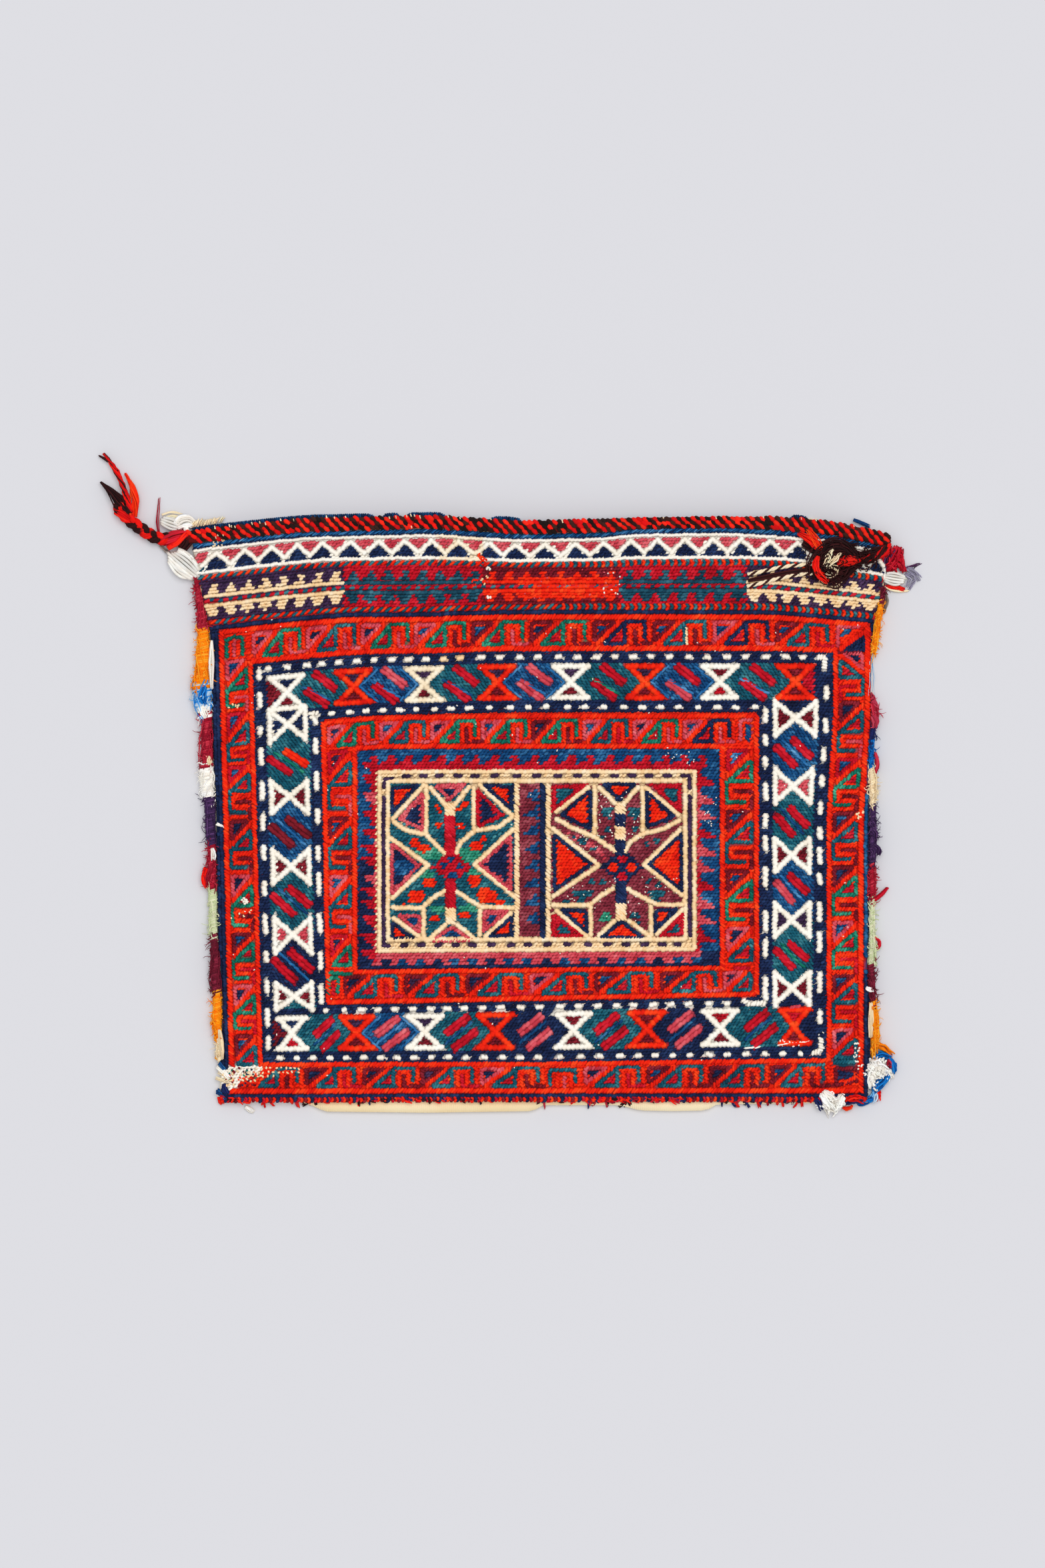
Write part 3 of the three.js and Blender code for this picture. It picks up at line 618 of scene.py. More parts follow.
dashes = {
    "outerTop": (403, 432, 461, 484, 509, 536, 562, 588, 613, 640, 666, 691, 722, 750, 779, 807, 838, 866,
                 895, 923, 950, 976, 1004, 1033, 1061, 1090, 1117, 1148, 1178, 1204),
    "outerBottom": (421, 446, 471, 496, 520, 547, 572, 596, 621, 648, 673, 699, 727, 754, 781, 808, 840,
                    870, 900, 930, 957, 982, 1009, 1035, 1063, 1090, 1118, 1147, 1173, 1200),
    "outerLeft": ((1003, 1023), (1038, 1065), (1089, 1105), (1120, 1150), (1172, 1203), (1219, 1248),
                  (1266, 1293), (1319, 1346), (1370, 1403), (1424, 1446), (1468, 1492), (1510, 1541),
                  (1553, 1576)),
    "outerRight": ((1028, 1052), (1076, 1102), (1121, 1145), (1161, 1183), (1201, 1225),
                   (1240, 1262), (1270, 1298), (1308, 1330), (1351, 1384), (1396, 1431), (1456, 1491),
                   (1514, 1538)),
    "innerTop": (498, 524, 550, 575, 600, 625, 652, 677, 704, 734, 765, 793, 819, 852, 877, 906, 936, 963,
                 991, 1017, 1047, 1075, 1103, 1132),
    "innerBottom": (490, 517, 543, 567, 593, 620, 646, 671, 697, 724, 752, 781, 809, 840, 868, 897, 925,
                    950, 980, 1006, 1033, 1062, 1090),
    "innerLeft": ((1075, 1090), (1107, 1133), (1155, 1188), (1211, 1238), (1268, 1292), (1307, 1344),
                  (1368, 1402), (1425, 1457), (1476, 1508)),
    "innerRight": ((1061, 1086), (1100, 1122), (1133, 1153), (1173, 1204), (1218, 1243), (1252, 1279),
                   (1298, 1333), (1363, 1400), (1407, 1436), (1463, 1503)),
    "corners": (((1224, 987), (1237, 986), (1236, 1005)), ((1231, 1556), (1230, 1577), (1217, 1580)),
                ((478, 1070), (467, 1071), (470, 1078)), ((1113, 1499), (1122, 1505), (1148, 1505))),
    "agedOnes": (10, 11),  # dashes of the mouth row that have yellowed
    "rows": (("outerTop", 986.5), ("outerBottom", 1585.5), ("innerTop", 1061.5), ("innerBottom", 1510)),
    "columns": (("outerLeft", 389), ("outerRight", 1239), ("innerLeft", 471), ("innerRight", 1147.5)),
    "half": 4.3, "spread": 0.8, "inset": 3,
}


def drawDashes():
    for name, y in dashes["rows"]:
        for index, place in enumerate(dashes[name]):
            yarn = "cream" if name == "outerTop" and index in dashes["agedOnes"] else "ivory"
            x = seenX(place, y)
            long = dashes["half"] + chance.uniform(-dashes["spread"], dashes["spread"])
            rope(yarn, row(y, x - long, x + long), 8.4, lean=8, pitch=5)
    for name, x in dashes["columns"]:
        for low, high in dashes[name]:
            line = column(x, seenY(x, low + dashes["inset"]), seenY(x, high - dashes["inset"]))
            rope("ivory", line, 9.6, lean=26, pitch=6.5)
    for line in dashes["corners"]:
        rope("ivory", seen(*line), 9.5, lean=70, pitch=4.5)


mainBorder = {
    "top": (431, 531, 637, 746, 856, 967, 1079, 1192),
    "bottom": (439, 535, 638, 743, 860, 970, 1080, 1190),
    "topDyes": ("ivory", "scarlet", "bone", "scarlet", "ivory", "scarlet", "ivory", "scarlet"),
    "bottomDyes": ("ivory", "scarlet", "ivory", "scarlet", "ivory", "scarlet", "ivory", "scarlet"),
    "topCores": ("navy maroon", "aubergine maroon", "aubergine maroon", "aubergine maroon",
                 "aubergine maroon", "aubergine maroon", "maroon crimson", "maroon maroon"),
    "bottomCores": ("navy crimson", "aubergine maroon", "aubergine maroon", "aubergine maroon",
                    "maroon maroon", "maroon maroon", "crimson maroon", "crimson maroon"),
    "topHexes": ("teal crimson crimson blue", "blue rose crimson sky", "teal crimson crimson blue",
                 "blue rose rose sky", "teal crimson crimson green", "blue crimson rose sky",
                 "teal crimson crimson sky"),
    "bottomHexes": ("teal crimson crimson blue", "blue rose rose sky", "teal crimson crimson blue",
                    "navy rose rose blue", "teal crimson crimson blue", "navy rose rose blue",
                    "teal crimson crimson blue"),
    "left": (1088, 1195, 1300, 1402, 1495),
    "leftCores": ("navy", "maroon", "maroon", "rose", "maroon"),
    "leftHexes": ("teal scarlet crimson green", "blue maroon maroon sky", "teal crimson crimson blue",
                  "navy crimson crimson sky"),
    "right": (1078, 1180, 1283, 1380, 1482),
    "rightCores": ("maroon", "rose", "maroon", "aubergine", "maroon"),
    "rightHexes": ("blue crimson crimson sky", "teal crimson crimson blue", "blue crimson rose sky",
                   "teal crimson crimson green"),
    "topBars": (((-9, -25), (24, 2)), ((-22, -1), (11, 25))),
    "bottomBars": (((-21, 3), (12, -23)), ((-10, 26), (25, -1))),
    "columnBars": (((-5, -20), (28, 8)), ((-30, -9), (3, 22))),
    "topShine": ((-26, -6), (16, 18)), "bottomShine": ((-22, 18), (18, -14)),
    "columnShine": ((-20, -18), (22, 20)),
    "half": 29, "narrowHalf": {"bottom": 24.5, "left": 23}, "rowLean": 35, "columnLean": -38,
    "tealFoot": 20,
    "glass": {"bar": 4.5, "edge": 1, "core": 0.5, "coreGap": 9, "coreTip": 6, "barWidth": 9.5,
              "slantWidth": 10, "slantInset": 4},
    "hexagon": {"shineWidth": 4.5, "barWidth": 7.6, "besides": (-3, 3)},
    "paleThread": {"rim": 36, "tip": 10, "inset": 4, "width": 4},
    "ends": (("maroon", ((399, 1001), (422, 1024), (399, 1047))),
             ("maroon", ((397, 1524), (416, 1546), (397, 1568))),
             ("crimson", ((1222, 1001), (1200, 1024), (1222, 1047)))),
}


def hourglass(place, half, depth, yarn, first, second):
    glass = mainBorder["glass"]
    bar, edge, core = depth - glass["bar"], half - glass["edge"], half * glass["core"]
    base, tip, slant = depth - glass["coreGap"], glass["coreTip"], edge - glass["slantInset"]
    patch(yarn, place(-half, -bar), place(half, -bar), place(0, 0))
    patch(yarn, place(-half, bar), place(half, bar), place(0, 0))
    patch(first, place(-core, -base), place(core, -base), place(0, -tip))
    patch(second, place(-core, base), place(core, base), place(0, tip))
    for side in (-1, 1):
        line = [place(-edge, side * bar), place(edge, side * bar)]
        rope(yarn, line, glass["barWidth"], lean=24, pitch=6)
    for side in (1, -1):
        line = [place(-slant * side, -bar), place(slant * side, bar)]
        rope(yarn, line, glass["slantWidth"], lean=24, pitch=6)


def hexagon(middleX, middleY, bars, dyes, shine):  # slanting bars with a light thread between them
    kit = mainBorder["hexagon"]
    line = [(middleX + aside, middleY + down) for aside, down in shine]
    rope(dyes[3], line, kit["shineWidth"], lean=10, pitch=7)
    for ((ax, ay), (bx, by)), yarn in zip(bars, dyes[1:3]):
        reach = math.hypot(bx - ax, by - ay)
        asideX, asideY = -(by - ay) / reach, (bx - ax) / reach
        for beside in kit["besides"]:
            x, y = middleX + asideX * beside, middleY + asideY * beside
            rope(yarn, [(x + ax, y + ay), (x + bx, y + by)], kit["barWidth"], lean=9, pitch=7)


def paleThread(tip, way, start, middle, end):  # along one side of a hexagon
    kit = mainBorder["paleThread"]
    rim, inset = tip + kit["rim"] * way, kit["inset"]
    line = [(rim, start + inset), (tip + kit["tip"] * way, middle), (rim, end - inset)]
    rope("sky", line, kit["width"], lean=10, pitch=7)


def drawRow(name, start, end, slope):
    middle, depth = (start + end) / 2, (end - start) / 2
    centres = [seenX(x, middle) for x in mainBorder[name]]
    for here, after, dyes in zip(centres, centres[1:], mainBorder[f"{name}Hexes"]):
        box(dyes.split()[0], here, start, after, end, lean=-mainBorder["rowLean"] * slope)
        hexagon((here + after) / 2, middle, mainBorder[f"{name}Bars"], dyes.split(),
                mainBorder[f"{name}Shine"])
        if dyes.startswith("blue"):
            paleThread(here, 1, start, middle, end)
            paleThread(after, -1, start, middle, end)
    for here, yarn, cores in zip(centres, mainBorder[f"{name}Dyes"], mainBorder[f"{name}Cores"]):
        narrow = name == "bottom" and here == centres[0]
        half = mainBorder["narrowHalf"][name] if narrow else mainBorder["half"]
        hourglass(rowPlace(here, middle), half, depth, yarn, *cores.split())


def drawColumn(name, start, end):
    middle, depth = (start + end) / 2, (end - start) / 2
    places = [seenY(middle, y) for y in mainBorder[name]]
    for here, after, dyes in zip(places, places[1:], mainBorder[f"{name}Hexes"]):
        box(dyes.split()[0], start, here, end, after, lean=mainBorder["columnLean"])
        hexagon(middle, (here + after) / 2, mainBorder["columnBars"], dyes.split(),
                mainBorder["columnShine"])
    if name == "left":
        box("teal", start, places[-1], end, places[-1] + mainBorder["tealFoot"])
    for here, core in zip(places, mainBorder[f"{name}Cores"]):
        narrow = name == "left" and here == places[-1]
        half = mainBorder["narrowHalf"][name] if narrow else mainBorder["half"]
        hourglass(columnPlace(middle, here), half, depth, "ivory", core, core)


def drawMainBorder():
    (left, top, right, bottom), (left2, top2, right2, bottom2) = mainBand
    drawRow("top", top, top2, 1)
    drawRow("bottom", bottom2, bottom, -1)
    for yarn, corners in mainBorder["ends"]:
        patch(yarn, *corners)
    drawColumn("left", left, left2)
    drawColumn("right", right2, right)


fieldFrame = {
    "grounds": (("blue", 537, 1124, 1079, 1160), ("blue", 537, 1124, 567, 1290),
                ("navy", 537, 1290, 567, 1452), ("blue", 1045, 1124, 1079, 1452),
                ("navy", 537, 1427, 1079, 1452), ("crimson", 560, 1147, 1050, 1158),
                ("crimson", 557, 1150, 567, 1240), ("rose", 561, 1240, 567, 1430),
                ("crimson", 1044, 1150, 1051, 1430), ("rose", 560, 1427, 1050, 1447)),
    "creams": ((566, 1155, 1045, 1177), (566, 1406, 1045, 1428), (566, 1155, 587, 1428),
               (1024, 1155, 1045, 1428)),
    "creamLines": ((8, (570, 1158, 1041, 1424.5)), (9, (582.5, 1171.5, 1027.5, 1409))),
    "darkLines": (576.3, 1034.2), "darkEnds": (1195, 1405),
    "dashRows": (("topDashes", 1164), ("bottomDashes", 1417)), "dashHalf": 5, "dashWidth": 7,
    "topTooth": ((-19, 1150), (-19, 1145), (-10, 1143), (-10, 1138), (-5, 1132), (2, 1132), (2, 1150)),
    "leftTooth": ((541, 0), (566, 0), (566, 19), (553, 12)), "leftRoses": (1, 6),
    "rightTooth": ((1046, -20), (1072, -4), (1072, 0), (1046, 0)),
    "bottomTooth": (1435, 1448), "bottomHalf": 6.5,
    "topDashes": (610, 636, 660, 687, 713, 742, 776, 805, 837, 866, 893, 922, 949, 974, 1001),
    "bottomDashes": (607, 633, 658, 684, 709, 738, 767, 792, 822, 851, 882, 911, 939, 967, 993, 1016),
    "topTeeth": (566, 592, 617, 643, 667, 692, 718, 746, 776, 806, 834, 862, 890, 918, 946, 974, 1003, 1030,
                 1057),
    "leftTeeth": (1162, 1190, 1216, 1242, 1266, 1285, 1311, 1331, 1350, 1374, 1402, 1424),
    "rightTeeth": (1180, 1207, 1232, 1258, 1284, 1310, 1336, 1362, 1388, 1414),
    "bottomTeeth": (579, 605, 632, 657, 683, 709, 737, 763, 791, 820, 848, 876, 904, 932, 960, 988, 1016,
                    1044),
    "elbows": (((591, 1168), (578, 1170), (576, 1182)), ((1022, 1163), (1034, 1165), (1034, 1183)),
               ((576, 1405), (577, 1418), (586, 1419))),
}


def drawFieldFrame():
    for yarn, *corners in fieldFrame["grounds"]:
        box(yarn, *corners)
    for x in fieldFrame["topTeeth"]:
        patch("crimson", *((x + aside, y) for aside, y in fieldFrame["topTooth"]))
    for index, y in enumerate(fieldFrame["leftTeeth"]):
        yarn = "rose" if index in fieldFrame["leftRoses"] else "crimson"
        patch(yarn, *((x, y + down) for x, down in fieldFrame["leftTooth"]))
    for index, y in enumerate(fieldFrame["rightTeeth"]):
        patch("rose" if index % 3 else "crimson", *((x, y + down) for x, down in fieldFrame["rightTooth"]))
    (top, foot), half = fieldFrame["bottomTooth"], fieldFrame["bottomHalf"]
    for index, x in enumerate(fieldFrame["bottomTeeth"]):
        box("blue" if index % 3 else "navy", x - half, top, x + half, foot)
    for corners in fieldFrame["creams"]:
        box("cream", *corners)
    for width, corners in fieldFrame["creamLines"]:
        satin("cream", frameOf(*corners), width)
    for x in fieldFrame["darkLines"]:
        rope("aubergine", column(x, *fieldFrame["darkEnds"]), 6, lean=40)
    half = fieldFrame["dashHalf"]
    for name, y in fieldFrame["dashRows"]:
        for x in fieldFrame[name]:
            satin("aubergine", row(y, x - half, x + half), fieldFrame["dashWidth"])
    for line in fieldFrame["elbows"]:
        satin("aubergine", seen(*line), 6)


def blot(yarn, x, y, wide, high):  # a small round spot
    ring = [(x + wide * math.cos(a), y + high * math.sin(a)) for a in np.linspace(0, 2 * math.pi, 9)[:-1]]
    patch(yarn, *ring)


def triangleIn(rim, core, corners, inner):
    patch(rim, *corners)
    patch(core, *inner)
    rope(rim, closed(*shrunk(corners, medallions["rimInset"])), medallions["rimWidth"])


def shrunk(corners, inset):
    middleX, middleY = (sum(v) / len(corners) for v in zip(*corners))
    moved = []
    for x, y in corners:
        reach = math.hypot(middleX - x, middleY - y)
        moved.append((x + (middleX - x) * inset / reach, y + (middleY - y) * inset / reach))
    return moved


leftMedallion = {
    "ground": ("teal", 585, 1177, 771, 1408), "spotYarn": "scarlet", "glowYarn": "blue",
    "heart": ("crimson", 678, 30, 27),
    "petals": (("blue", 0, -13, 7, 5), ("blue", -12, -1, 5, 5), ("blue", 12, -1, 5, 5),
               ("blue", 0, 13, 8, 6)),
    "spots": ((655, 1208, 4, 4), (659, 1217, 4, 4), (657, 1239, 6, 4), (696, 1206, 6, 5), (687, 1214, 4, 4),
              (692, 1238, 7, 5), (622, 1265, 9, 6), (636, 1273, 9, 6), (727, 1259, 7, 4),
              (716, 1269, 11, 7), (646, 1325, 11, 8), (625, 1345, 14, 11), (606, 1359, 6, 4),
              (713, 1322, 11, 9), (730, 1343, 15, 12), (751, 1353, 9, 5), (652, 1377, 8, 5),
              (697, 1372, 9, 6)),
    "greens": ((642, 1281, 26, 11), (702, 1282, 20, 13), (640, 1311, 14, 6), (710, 1309, 12, 6),
               (657, 1364, 13, 7), (703, 1363, 15, 7)),
    "triangles": (
        ("navy", "scarlet", ((586, 1180), (632, 1176), (586, 1224)),
         ((591, 1186), (616, 1185), (594, 1213))),
        ("navy", "scarlet", ((722, 1176), (770, 1178), (770, 1218)),
         ((735, 1180), (764, 1182), (761, 1207))),
        ("navy", "scarlet", ((586, 1380), (624, 1409), (586, 1410)),
         ((592, 1387), (614, 1406), (592, 1404))),
        ("navy", "scarlet", ((770, 1372), (770, 1406), (730, 1406)),
         ((765, 1381), (764, 1401), (741, 1403))),
        ("rose", "navy", ((637, 1186), (637, 1248), (595, 1230)), ((630, 1202), (630, 1243), (604, 1231))),
        ("crimson", "navy", ((715, 1182), (715, 1244), (757, 1224)),
         ((722, 1195), (722, 1238), (746, 1224))),
        ("rose", "navy", ((587, 1261), (633, 1298), (587, 1346)), ((592, 1271), (626, 1298), (592, 1332))),
        ("rose", "navy", ((768, 1250), (768, 1340), (716, 1297)), ((762, 1260), (762, 1324), (727, 1297))),
        ("rose", "navy", ((650, 1178), (702, 1176), (675, 1204)), ((661, 1182), (686, 1182), (673, 1195))),
        ("rose", "blue", ((678, 1386), (645, 1412), (712, 1411)), ((678, 1393), (658, 1407), (700, 1407))),
        ("rose", "blue", ((594, 1371), (634, 1372), (632, 1403)), ((608, 1376), (628, 1378), (621, 1391))),
        ("rose", "blue", ((723, 1364), (766, 1365), (723, 1401)), ((731, 1372), (750, 1371), (732, 1389))),
    ),
    "lines": (
        [(637, 1178), (588, 1230)], [(640, 1178), (640, 1251)],
        [(590, 1232), (612, 1247), (640, 1252), (668, 1281)], [(645, 1181), (669, 1208)],
        [(705, 1180), (682, 1208)], [(718, 1177), (769, 1224)], [(711, 1180), (711, 1244)],
        [(769, 1225), (748, 1241), (713, 1246), (692, 1263), (684, 1281)],
        [(770, 1244), (712, 1297), (773, 1346)], [(586, 1257), (643, 1298), (588, 1348)],
        [(588, 1362), (634, 1362), (650, 1347), (669, 1336)],
        [(684, 1336), (701, 1348), (722, 1360), (772, 1362)], [(636, 1362), (636, 1407)],
        [(590, 1376), (634, 1408)], [(670, 1386), (640, 1412)], [(685, 1386), (716, 1411)],
        [(720, 1364), (720, 1404)], [(767, 1368), (727, 1406)],
    ),
    "glow": ((592, 1291), (630, 1293), (626, 1309), (592, 1312)),
    "stalk": (("cream", 675.5, 1205, 1224), ("crimson", 675.5, 1224, 1283), ("crimson", 676.5, 1322, 1362),
              ("cream", 676.5, 1362, 1386)),
}
rightMedallion = {
    "ground": ("wine", 826, 1177, 1024, 1408), "spotYarn": "teal", "glowYarn": "rose",
    "heart": ("navy", 933, 32, 28),
    "petals": (("crimson", 0, -13, 9, 7), ("scarlet", -14, 1, 9, 7), ("scarlet", 14, 1, 9, 8),
               ("crimson", 0, 14, 9, 8)),
    "spots": ((911, 1217, 9, 8), (913, 1228, 4, 3), (951, 1219, 9, 10), (912, 1243, 5, 5),
              (951, 1243, 5, 4), (904, 1256, 5, 4), (862, 1256, 4, 3), (873, 1262, 9, 4), (890, 1273, 6, 3),
              (971, 1268, 4, 5), (984, 1262, 5, 3), (886, 1323, 5, 4), (905, 1323, 5, 4),
              (874, 1340, 16, 5), (872, 1350, 6, 7), (848, 1353, 6, 3), (972, 1322, 4, 4),
              (987, 1328, 6, 4), (984, 1341, 15, 5), (983, 1351, 5, 6), (953, 1373, 9, 6),
              (955, 1385, 6, 5)),
    "greens": ((908, 1376, 10, 7),),
    "triangles": (
        ("crimson", "teal", ((828, 1178), (881, 1177), (828, 1219)),
         ((836, 1184), (866, 1184), (836, 1207))),
        ("crimson", "teal", ((976, 1177), (1022, 1177), (1022, 1222)),
         ((990, 1183), (1016, 1184), (1014, 1209))),
        ("crimson", "teal", ((828, 1368), (878, 1405), (828, 1406)),
         ((840, 1383), (860, 1400), (838, 1400))),
        ("crimson", "teal", ((1027, 1366), (1026, 1404), (987, 1405)),
         ((1020, 1382), (1018, 1399), (1001, 1399))),
        ("navy", "scarlet", ((888, 1182), (888, 1248), (838, 1223)),
         ((881, 1194), (881, 1239), (846, 1222))),
        ("navy", "scarlet", ((968, 1183), (968, 1245), (1015, 1226)),
         ((976, 1196), (976, 1240), (1005, 1228))),
        ("navy", "scarlet", ((829, 1248), (891, 1296), (830, 1339)),
         ((836, 1258), (881, 1296), (836, 1330))),
        ("navy", "scarlet", ((1023, 1248), (968, 1296), (1024, 1340)),
         ((1017, 1257), (976, 1296), (1019, 1330))),
        ("navy", "scarlet", ((900, 1175), (956, 1175), (928, 1204)),
         ((916, 1181), (943, 1181), (929, 1196))),
        ("navy", "scarlet", ((932, 1377), (898, 1407), (968, 1408)),
         ((932, 1384), (910, 1403), (955, 1403))),
        ("navy", "scarlet", ((838, 1362), (882, 1364), (883, 1402)),
         ((853, 1368), (874, 1369), (876, 1391))),
        ("navy", "scarlet", ((980, 1363), (1020, 1361), (980, 1400)),
         ((985, 1368), (1004, 1367), (986, 1388))),
    ),
    "lines": (
        [(884, 1180), (833, 1219)], [(892, 1178), (892, 1252)],
        [(833, 1228), (860, 1243), (893, 1256), (925, 1279)], [(898, 1180), (923, 1207)],
        [(958, 1180), (934, 1207)], [(966, 1180), (1019, 1223)], [(964, 1180), (964, 1248)],
        [(1020, 1230), (995, 1244), (966, 1250), (945, 1263), (936, 1279)],
        [(1021, 1244), (966, 1297), (1024, 1344)], [(828, 1242), (898, 1298), (829, 1345)],
        [(828, 1358), (884, 1358), (905, 1341), (921, 1332)],
        [(940, 1333), (962, 1345), (985, 1357), (1024, 1357)], [(886, 1358), (886, 1404)],
        [(833, 1365), (880, 1405)], [(922, 1380), (897, 1405)], [(942, 1380), (976, 1406)],
        [(976, 1358), (976, 1404)], [(1024, 1363), (984, 1402)],
    ),
    "glow": ((842, 1247), (890, 1262), (910, 1290), (872, 1266)),
    "stalk": (("cream", 930.5, 1205, 1221), ("navy", 930.5, 1221, 1240), ("cream", 930.5, 1240, 1260),
              ("navy", 930.5, 1260, 1283), ("navy", 931.5, 1322, 1355), ("cream", 931.5, 1355, 1380)),
}
medallions = {"heartRow": 1301, "lineWidth": 8.6, "rimInset": 4.8, "rimWidth": 5.5, "stalkHalf": 8,
              "stalkRopes": (-4.6, 0, 4.6)}
middlePost = {
    "ground": ("wine", 779, 1177, 810, 1407), "toothRows": (1193, 1400, 26.3),
    "tooth": ((785, 5), (808, -12), (808, 9)), "ends": (1176, 1408),
    "lines": ((775.5, "cream", 9), (814, "navy", 9), (822.5, "cream", 8.5)),
}


def drawMedallion(kit):
    for spot in kit["greens"]:
        blot("mint", *spot)
    for spot in kit["spots"]:
        blot(kit["spotYarn"], *spot)
    for rim, core, corners, inner in kit["triangles"]:
        triangleIn(rim, core, corners, inner)
    if kit is leftMedallion:
        patch(kit["glowYarn"], *kit["glow"])
    for line in kit["lines"]:
        satin("cream", line, medallions["lineWidth"])
    half = medallions["stalkHalf"]
    for yarn, middle, low, high in kit["stalk"]:
        box(yarn, middle - half, low, middle + half, high)
        for beside in medallions["stalkRopes"]:
            rope(yarn, column(middle + beside, low, high), 8)


def drawHeart(kit):
    rim, x, wide, high = kit["heart"]
    y = medallions["heartRow"]
    patch(rim, (x - wide, y), (x, y - high), (x + wide, y), (x, y + high))
    for yarn, aside, down, across, tall in kit["petals"]:
        blot(yarn, x + aside, y + down, across, tall)


def drawMedallions():
    kits = leftMedallion, rightMedallion
    for kit in kits:
        box(*kit["ground"])
    patch(rightMedallion["glowYarn"], *rightMedallion["glow"])  # under its pattern
    for kit in kits:
        drawMedallion(kit)
    for kit in kits:
        drawHeart(kit)
    box(*middlePost["ground"])
    for y in np.arange(*middlePost["toothRows"]):
        patch("blue", *((x, y + down) for x, down in middlePost["tooth"]))
    for x, yarn, width in middlePost["lines"]:
        rope(yarn, column(x, *middlePost["ends"]), width)


footEdge = {"rows": ((1647, 125), (1650.5, 50)),  # where each lies, and how its stitches lean
            "dyes": ("scarlet", "maroon", "scarlet", "navy", "crimson")}


def drawFoot():
    for y, lean in footEdge["rows"]:
        rope(footEdge["dyes"], row(y), 5.5, lean=lean, pitch=5.2)


wornPlaces = {
    "corner": ((326, 1600), (352, 1601), (384, 1596), (394, 1602), (386, 1612), (366, 1617), (356, 1628),
               (346, 1635), (326, 1629)),
    "dotted": ((386, 452, 1602), (382, 450, 1608), (374, 412, 1614.5)), "dotPitch": 7.2, "dotSize": 4.4,
    "dotStray": (1, 0.8),
    "specks": (  # dye, how many, box as it lies, size
        ("ivory", 90, (340, 930, 1295, 1630), 2.8), ("ivory", 9, (905, 858, 930, 902), 3.6),
        ("ivory", 8, (1165, 1560, 1216, 1571), 3.4), ("ivory", 16, (1281, 1560, 1290, 1606), 4.2),
        ("ivory", 12, (985, 1128, 1045, 1150), 2.6), ("ivory", 14, (1055, 1195, 1080, 1240), 2.6),
        ("cream", 7, (343, 1056, 366, 1066), 4), ("cream", 6, (348, 1365, 382, 1378), 4),
        ("ivory", 8, (362, 1346, 371, 1356), 5), ("cream", 8, (1284, 1218, 1296, 1231), 4.5),
        ("scarlet", 12, (716, 833, 731, 849), 5), ("scarlet", 7, (708, 868, 718, 884), 4.5),
        ("ivory", 3, (731, 852, 735, 857), 5), ("ivory", 3, (730, 894, 735, 900), 5),
        ("cream", 5, (720, 866, 732, 880), 4), ("cream", 12, (316, 810, 338, 822), 3.6),
        ("maroon", 16, (338, 1602, 390, 1630), 4.5), ("navy", 10, (338, 1604, 380, 1630), 4),
        ("cream", 26, (332, 1601, 392, 1628), 5), ("green", 8, (338, 1603, 390, 1620), 4),
        ("scarlet", 8, (340, 1604, 386, 1622), 4), ("rose", 14, (726, 852, 926, 906), 3.2),
        ("ivory", 34, (898, 1188, 962, 1262), 2.8), ("ivory", 22, (846, 1250, 900, 1276), 2.4),
        ("ivory", 34, (846, 1316, 1016, 1362), 2.6), ("ivory", 10, (898, 1364, 964, 1384), 2.6)),
    "aged": ((652, 798), (722, 800), (732, 846), (700, 848), (660, 844)),
    "streaks": (((1167, 1567), (1186, 1564), (1213, 1562)), ((1118, 1572), (1140, 1570))),
}


def drawWear():
    corner, aged = seen(*wornPlaces["corner"]), seen(*wornPlaces["aged"])
    for index, (yarn, x, y, lean, *rest) in enumerate(list(ropeStitches)):
        left = ~within(corner, x, y)
        if yarn == "ivory":
            old = left & within(aged, x, y)
            ropeStitches.append(("bone", x[old], y[old], lean[old], *rest))
            left &= ~old
        ropeStitches[index] = (yarn, x[left], y[left], lean[left], *rest)
    yellowed = within(aged, gridX, gridY) & (fieldYarn == yarnNames.index("ivory"))
    fieldYarn[yellowed] = yarnNames.index("bone")
    patch("ivory", *corner)
    for low, high, y in wornPlaces["dotted"]:
        x = np.arange(low, high, wornPlaces["dotPitch"])
        wander, drift = (chance.normal(0, stray, len(x)) for stray in wornPlaces["dotStray"])
        specks("cream", *unlay(x + wander, y + drift), wornPlaces["dotSize"])
    for yarn, count, (lowX, lowY, highX, highY), size in wornPlaces["specks"]:
        x, y = chance.uniform(lowX, highX, count), chance.uniform(lowY, highY, count)
        specks(yarn, *unlay(x, y), size)
    for line in wornPlaces["streaks"]:
        rope("ivory", seen(*line), 3.5, lean=10, pitch=7)


drawMouthBands()
drawSmallBorders()
drawDashes()
drawMainBorder()
drawFieldFrame()
drawMedallions()
drawFoot()
drawWear()
print("chart drawn")

# Stitches: one short grain of wrapped wool, repeated
stitch = {"thickness": 0.0015, "wander": 0.45, "ropeLift": 0.0004, "turn": 5, "long": (0.92, 1.1),
          "broad": (0.92, 1.08), "tall": (0.85, 1.12), "shade": 0.1, "edgeGap": 2}


def roundUnit(sides, rows, turned=False):  # corners and triangles of a ball, its poles upright or along x
    shape = bmesh.new()
    bmesh.ops.create_uvsphere(shape, u_segments=sides, v_segments=rows, radius=1)
    if turned:
        bmesh.ops.rotate(shape, verts=shape.verts, matrix=Matrix.Rotation(math.pi / 2, 3, "Y"))
    bmesh.ops.triangulate(shape, faces=shape.faces)
    shape.verts.index_update()
    places = np.array([corner.co[:] for corner in shape.verts])
    faces = np.array([[corner.index for corner in face.verts] for face in shape.faces])
    shape.free()
    return places, faces


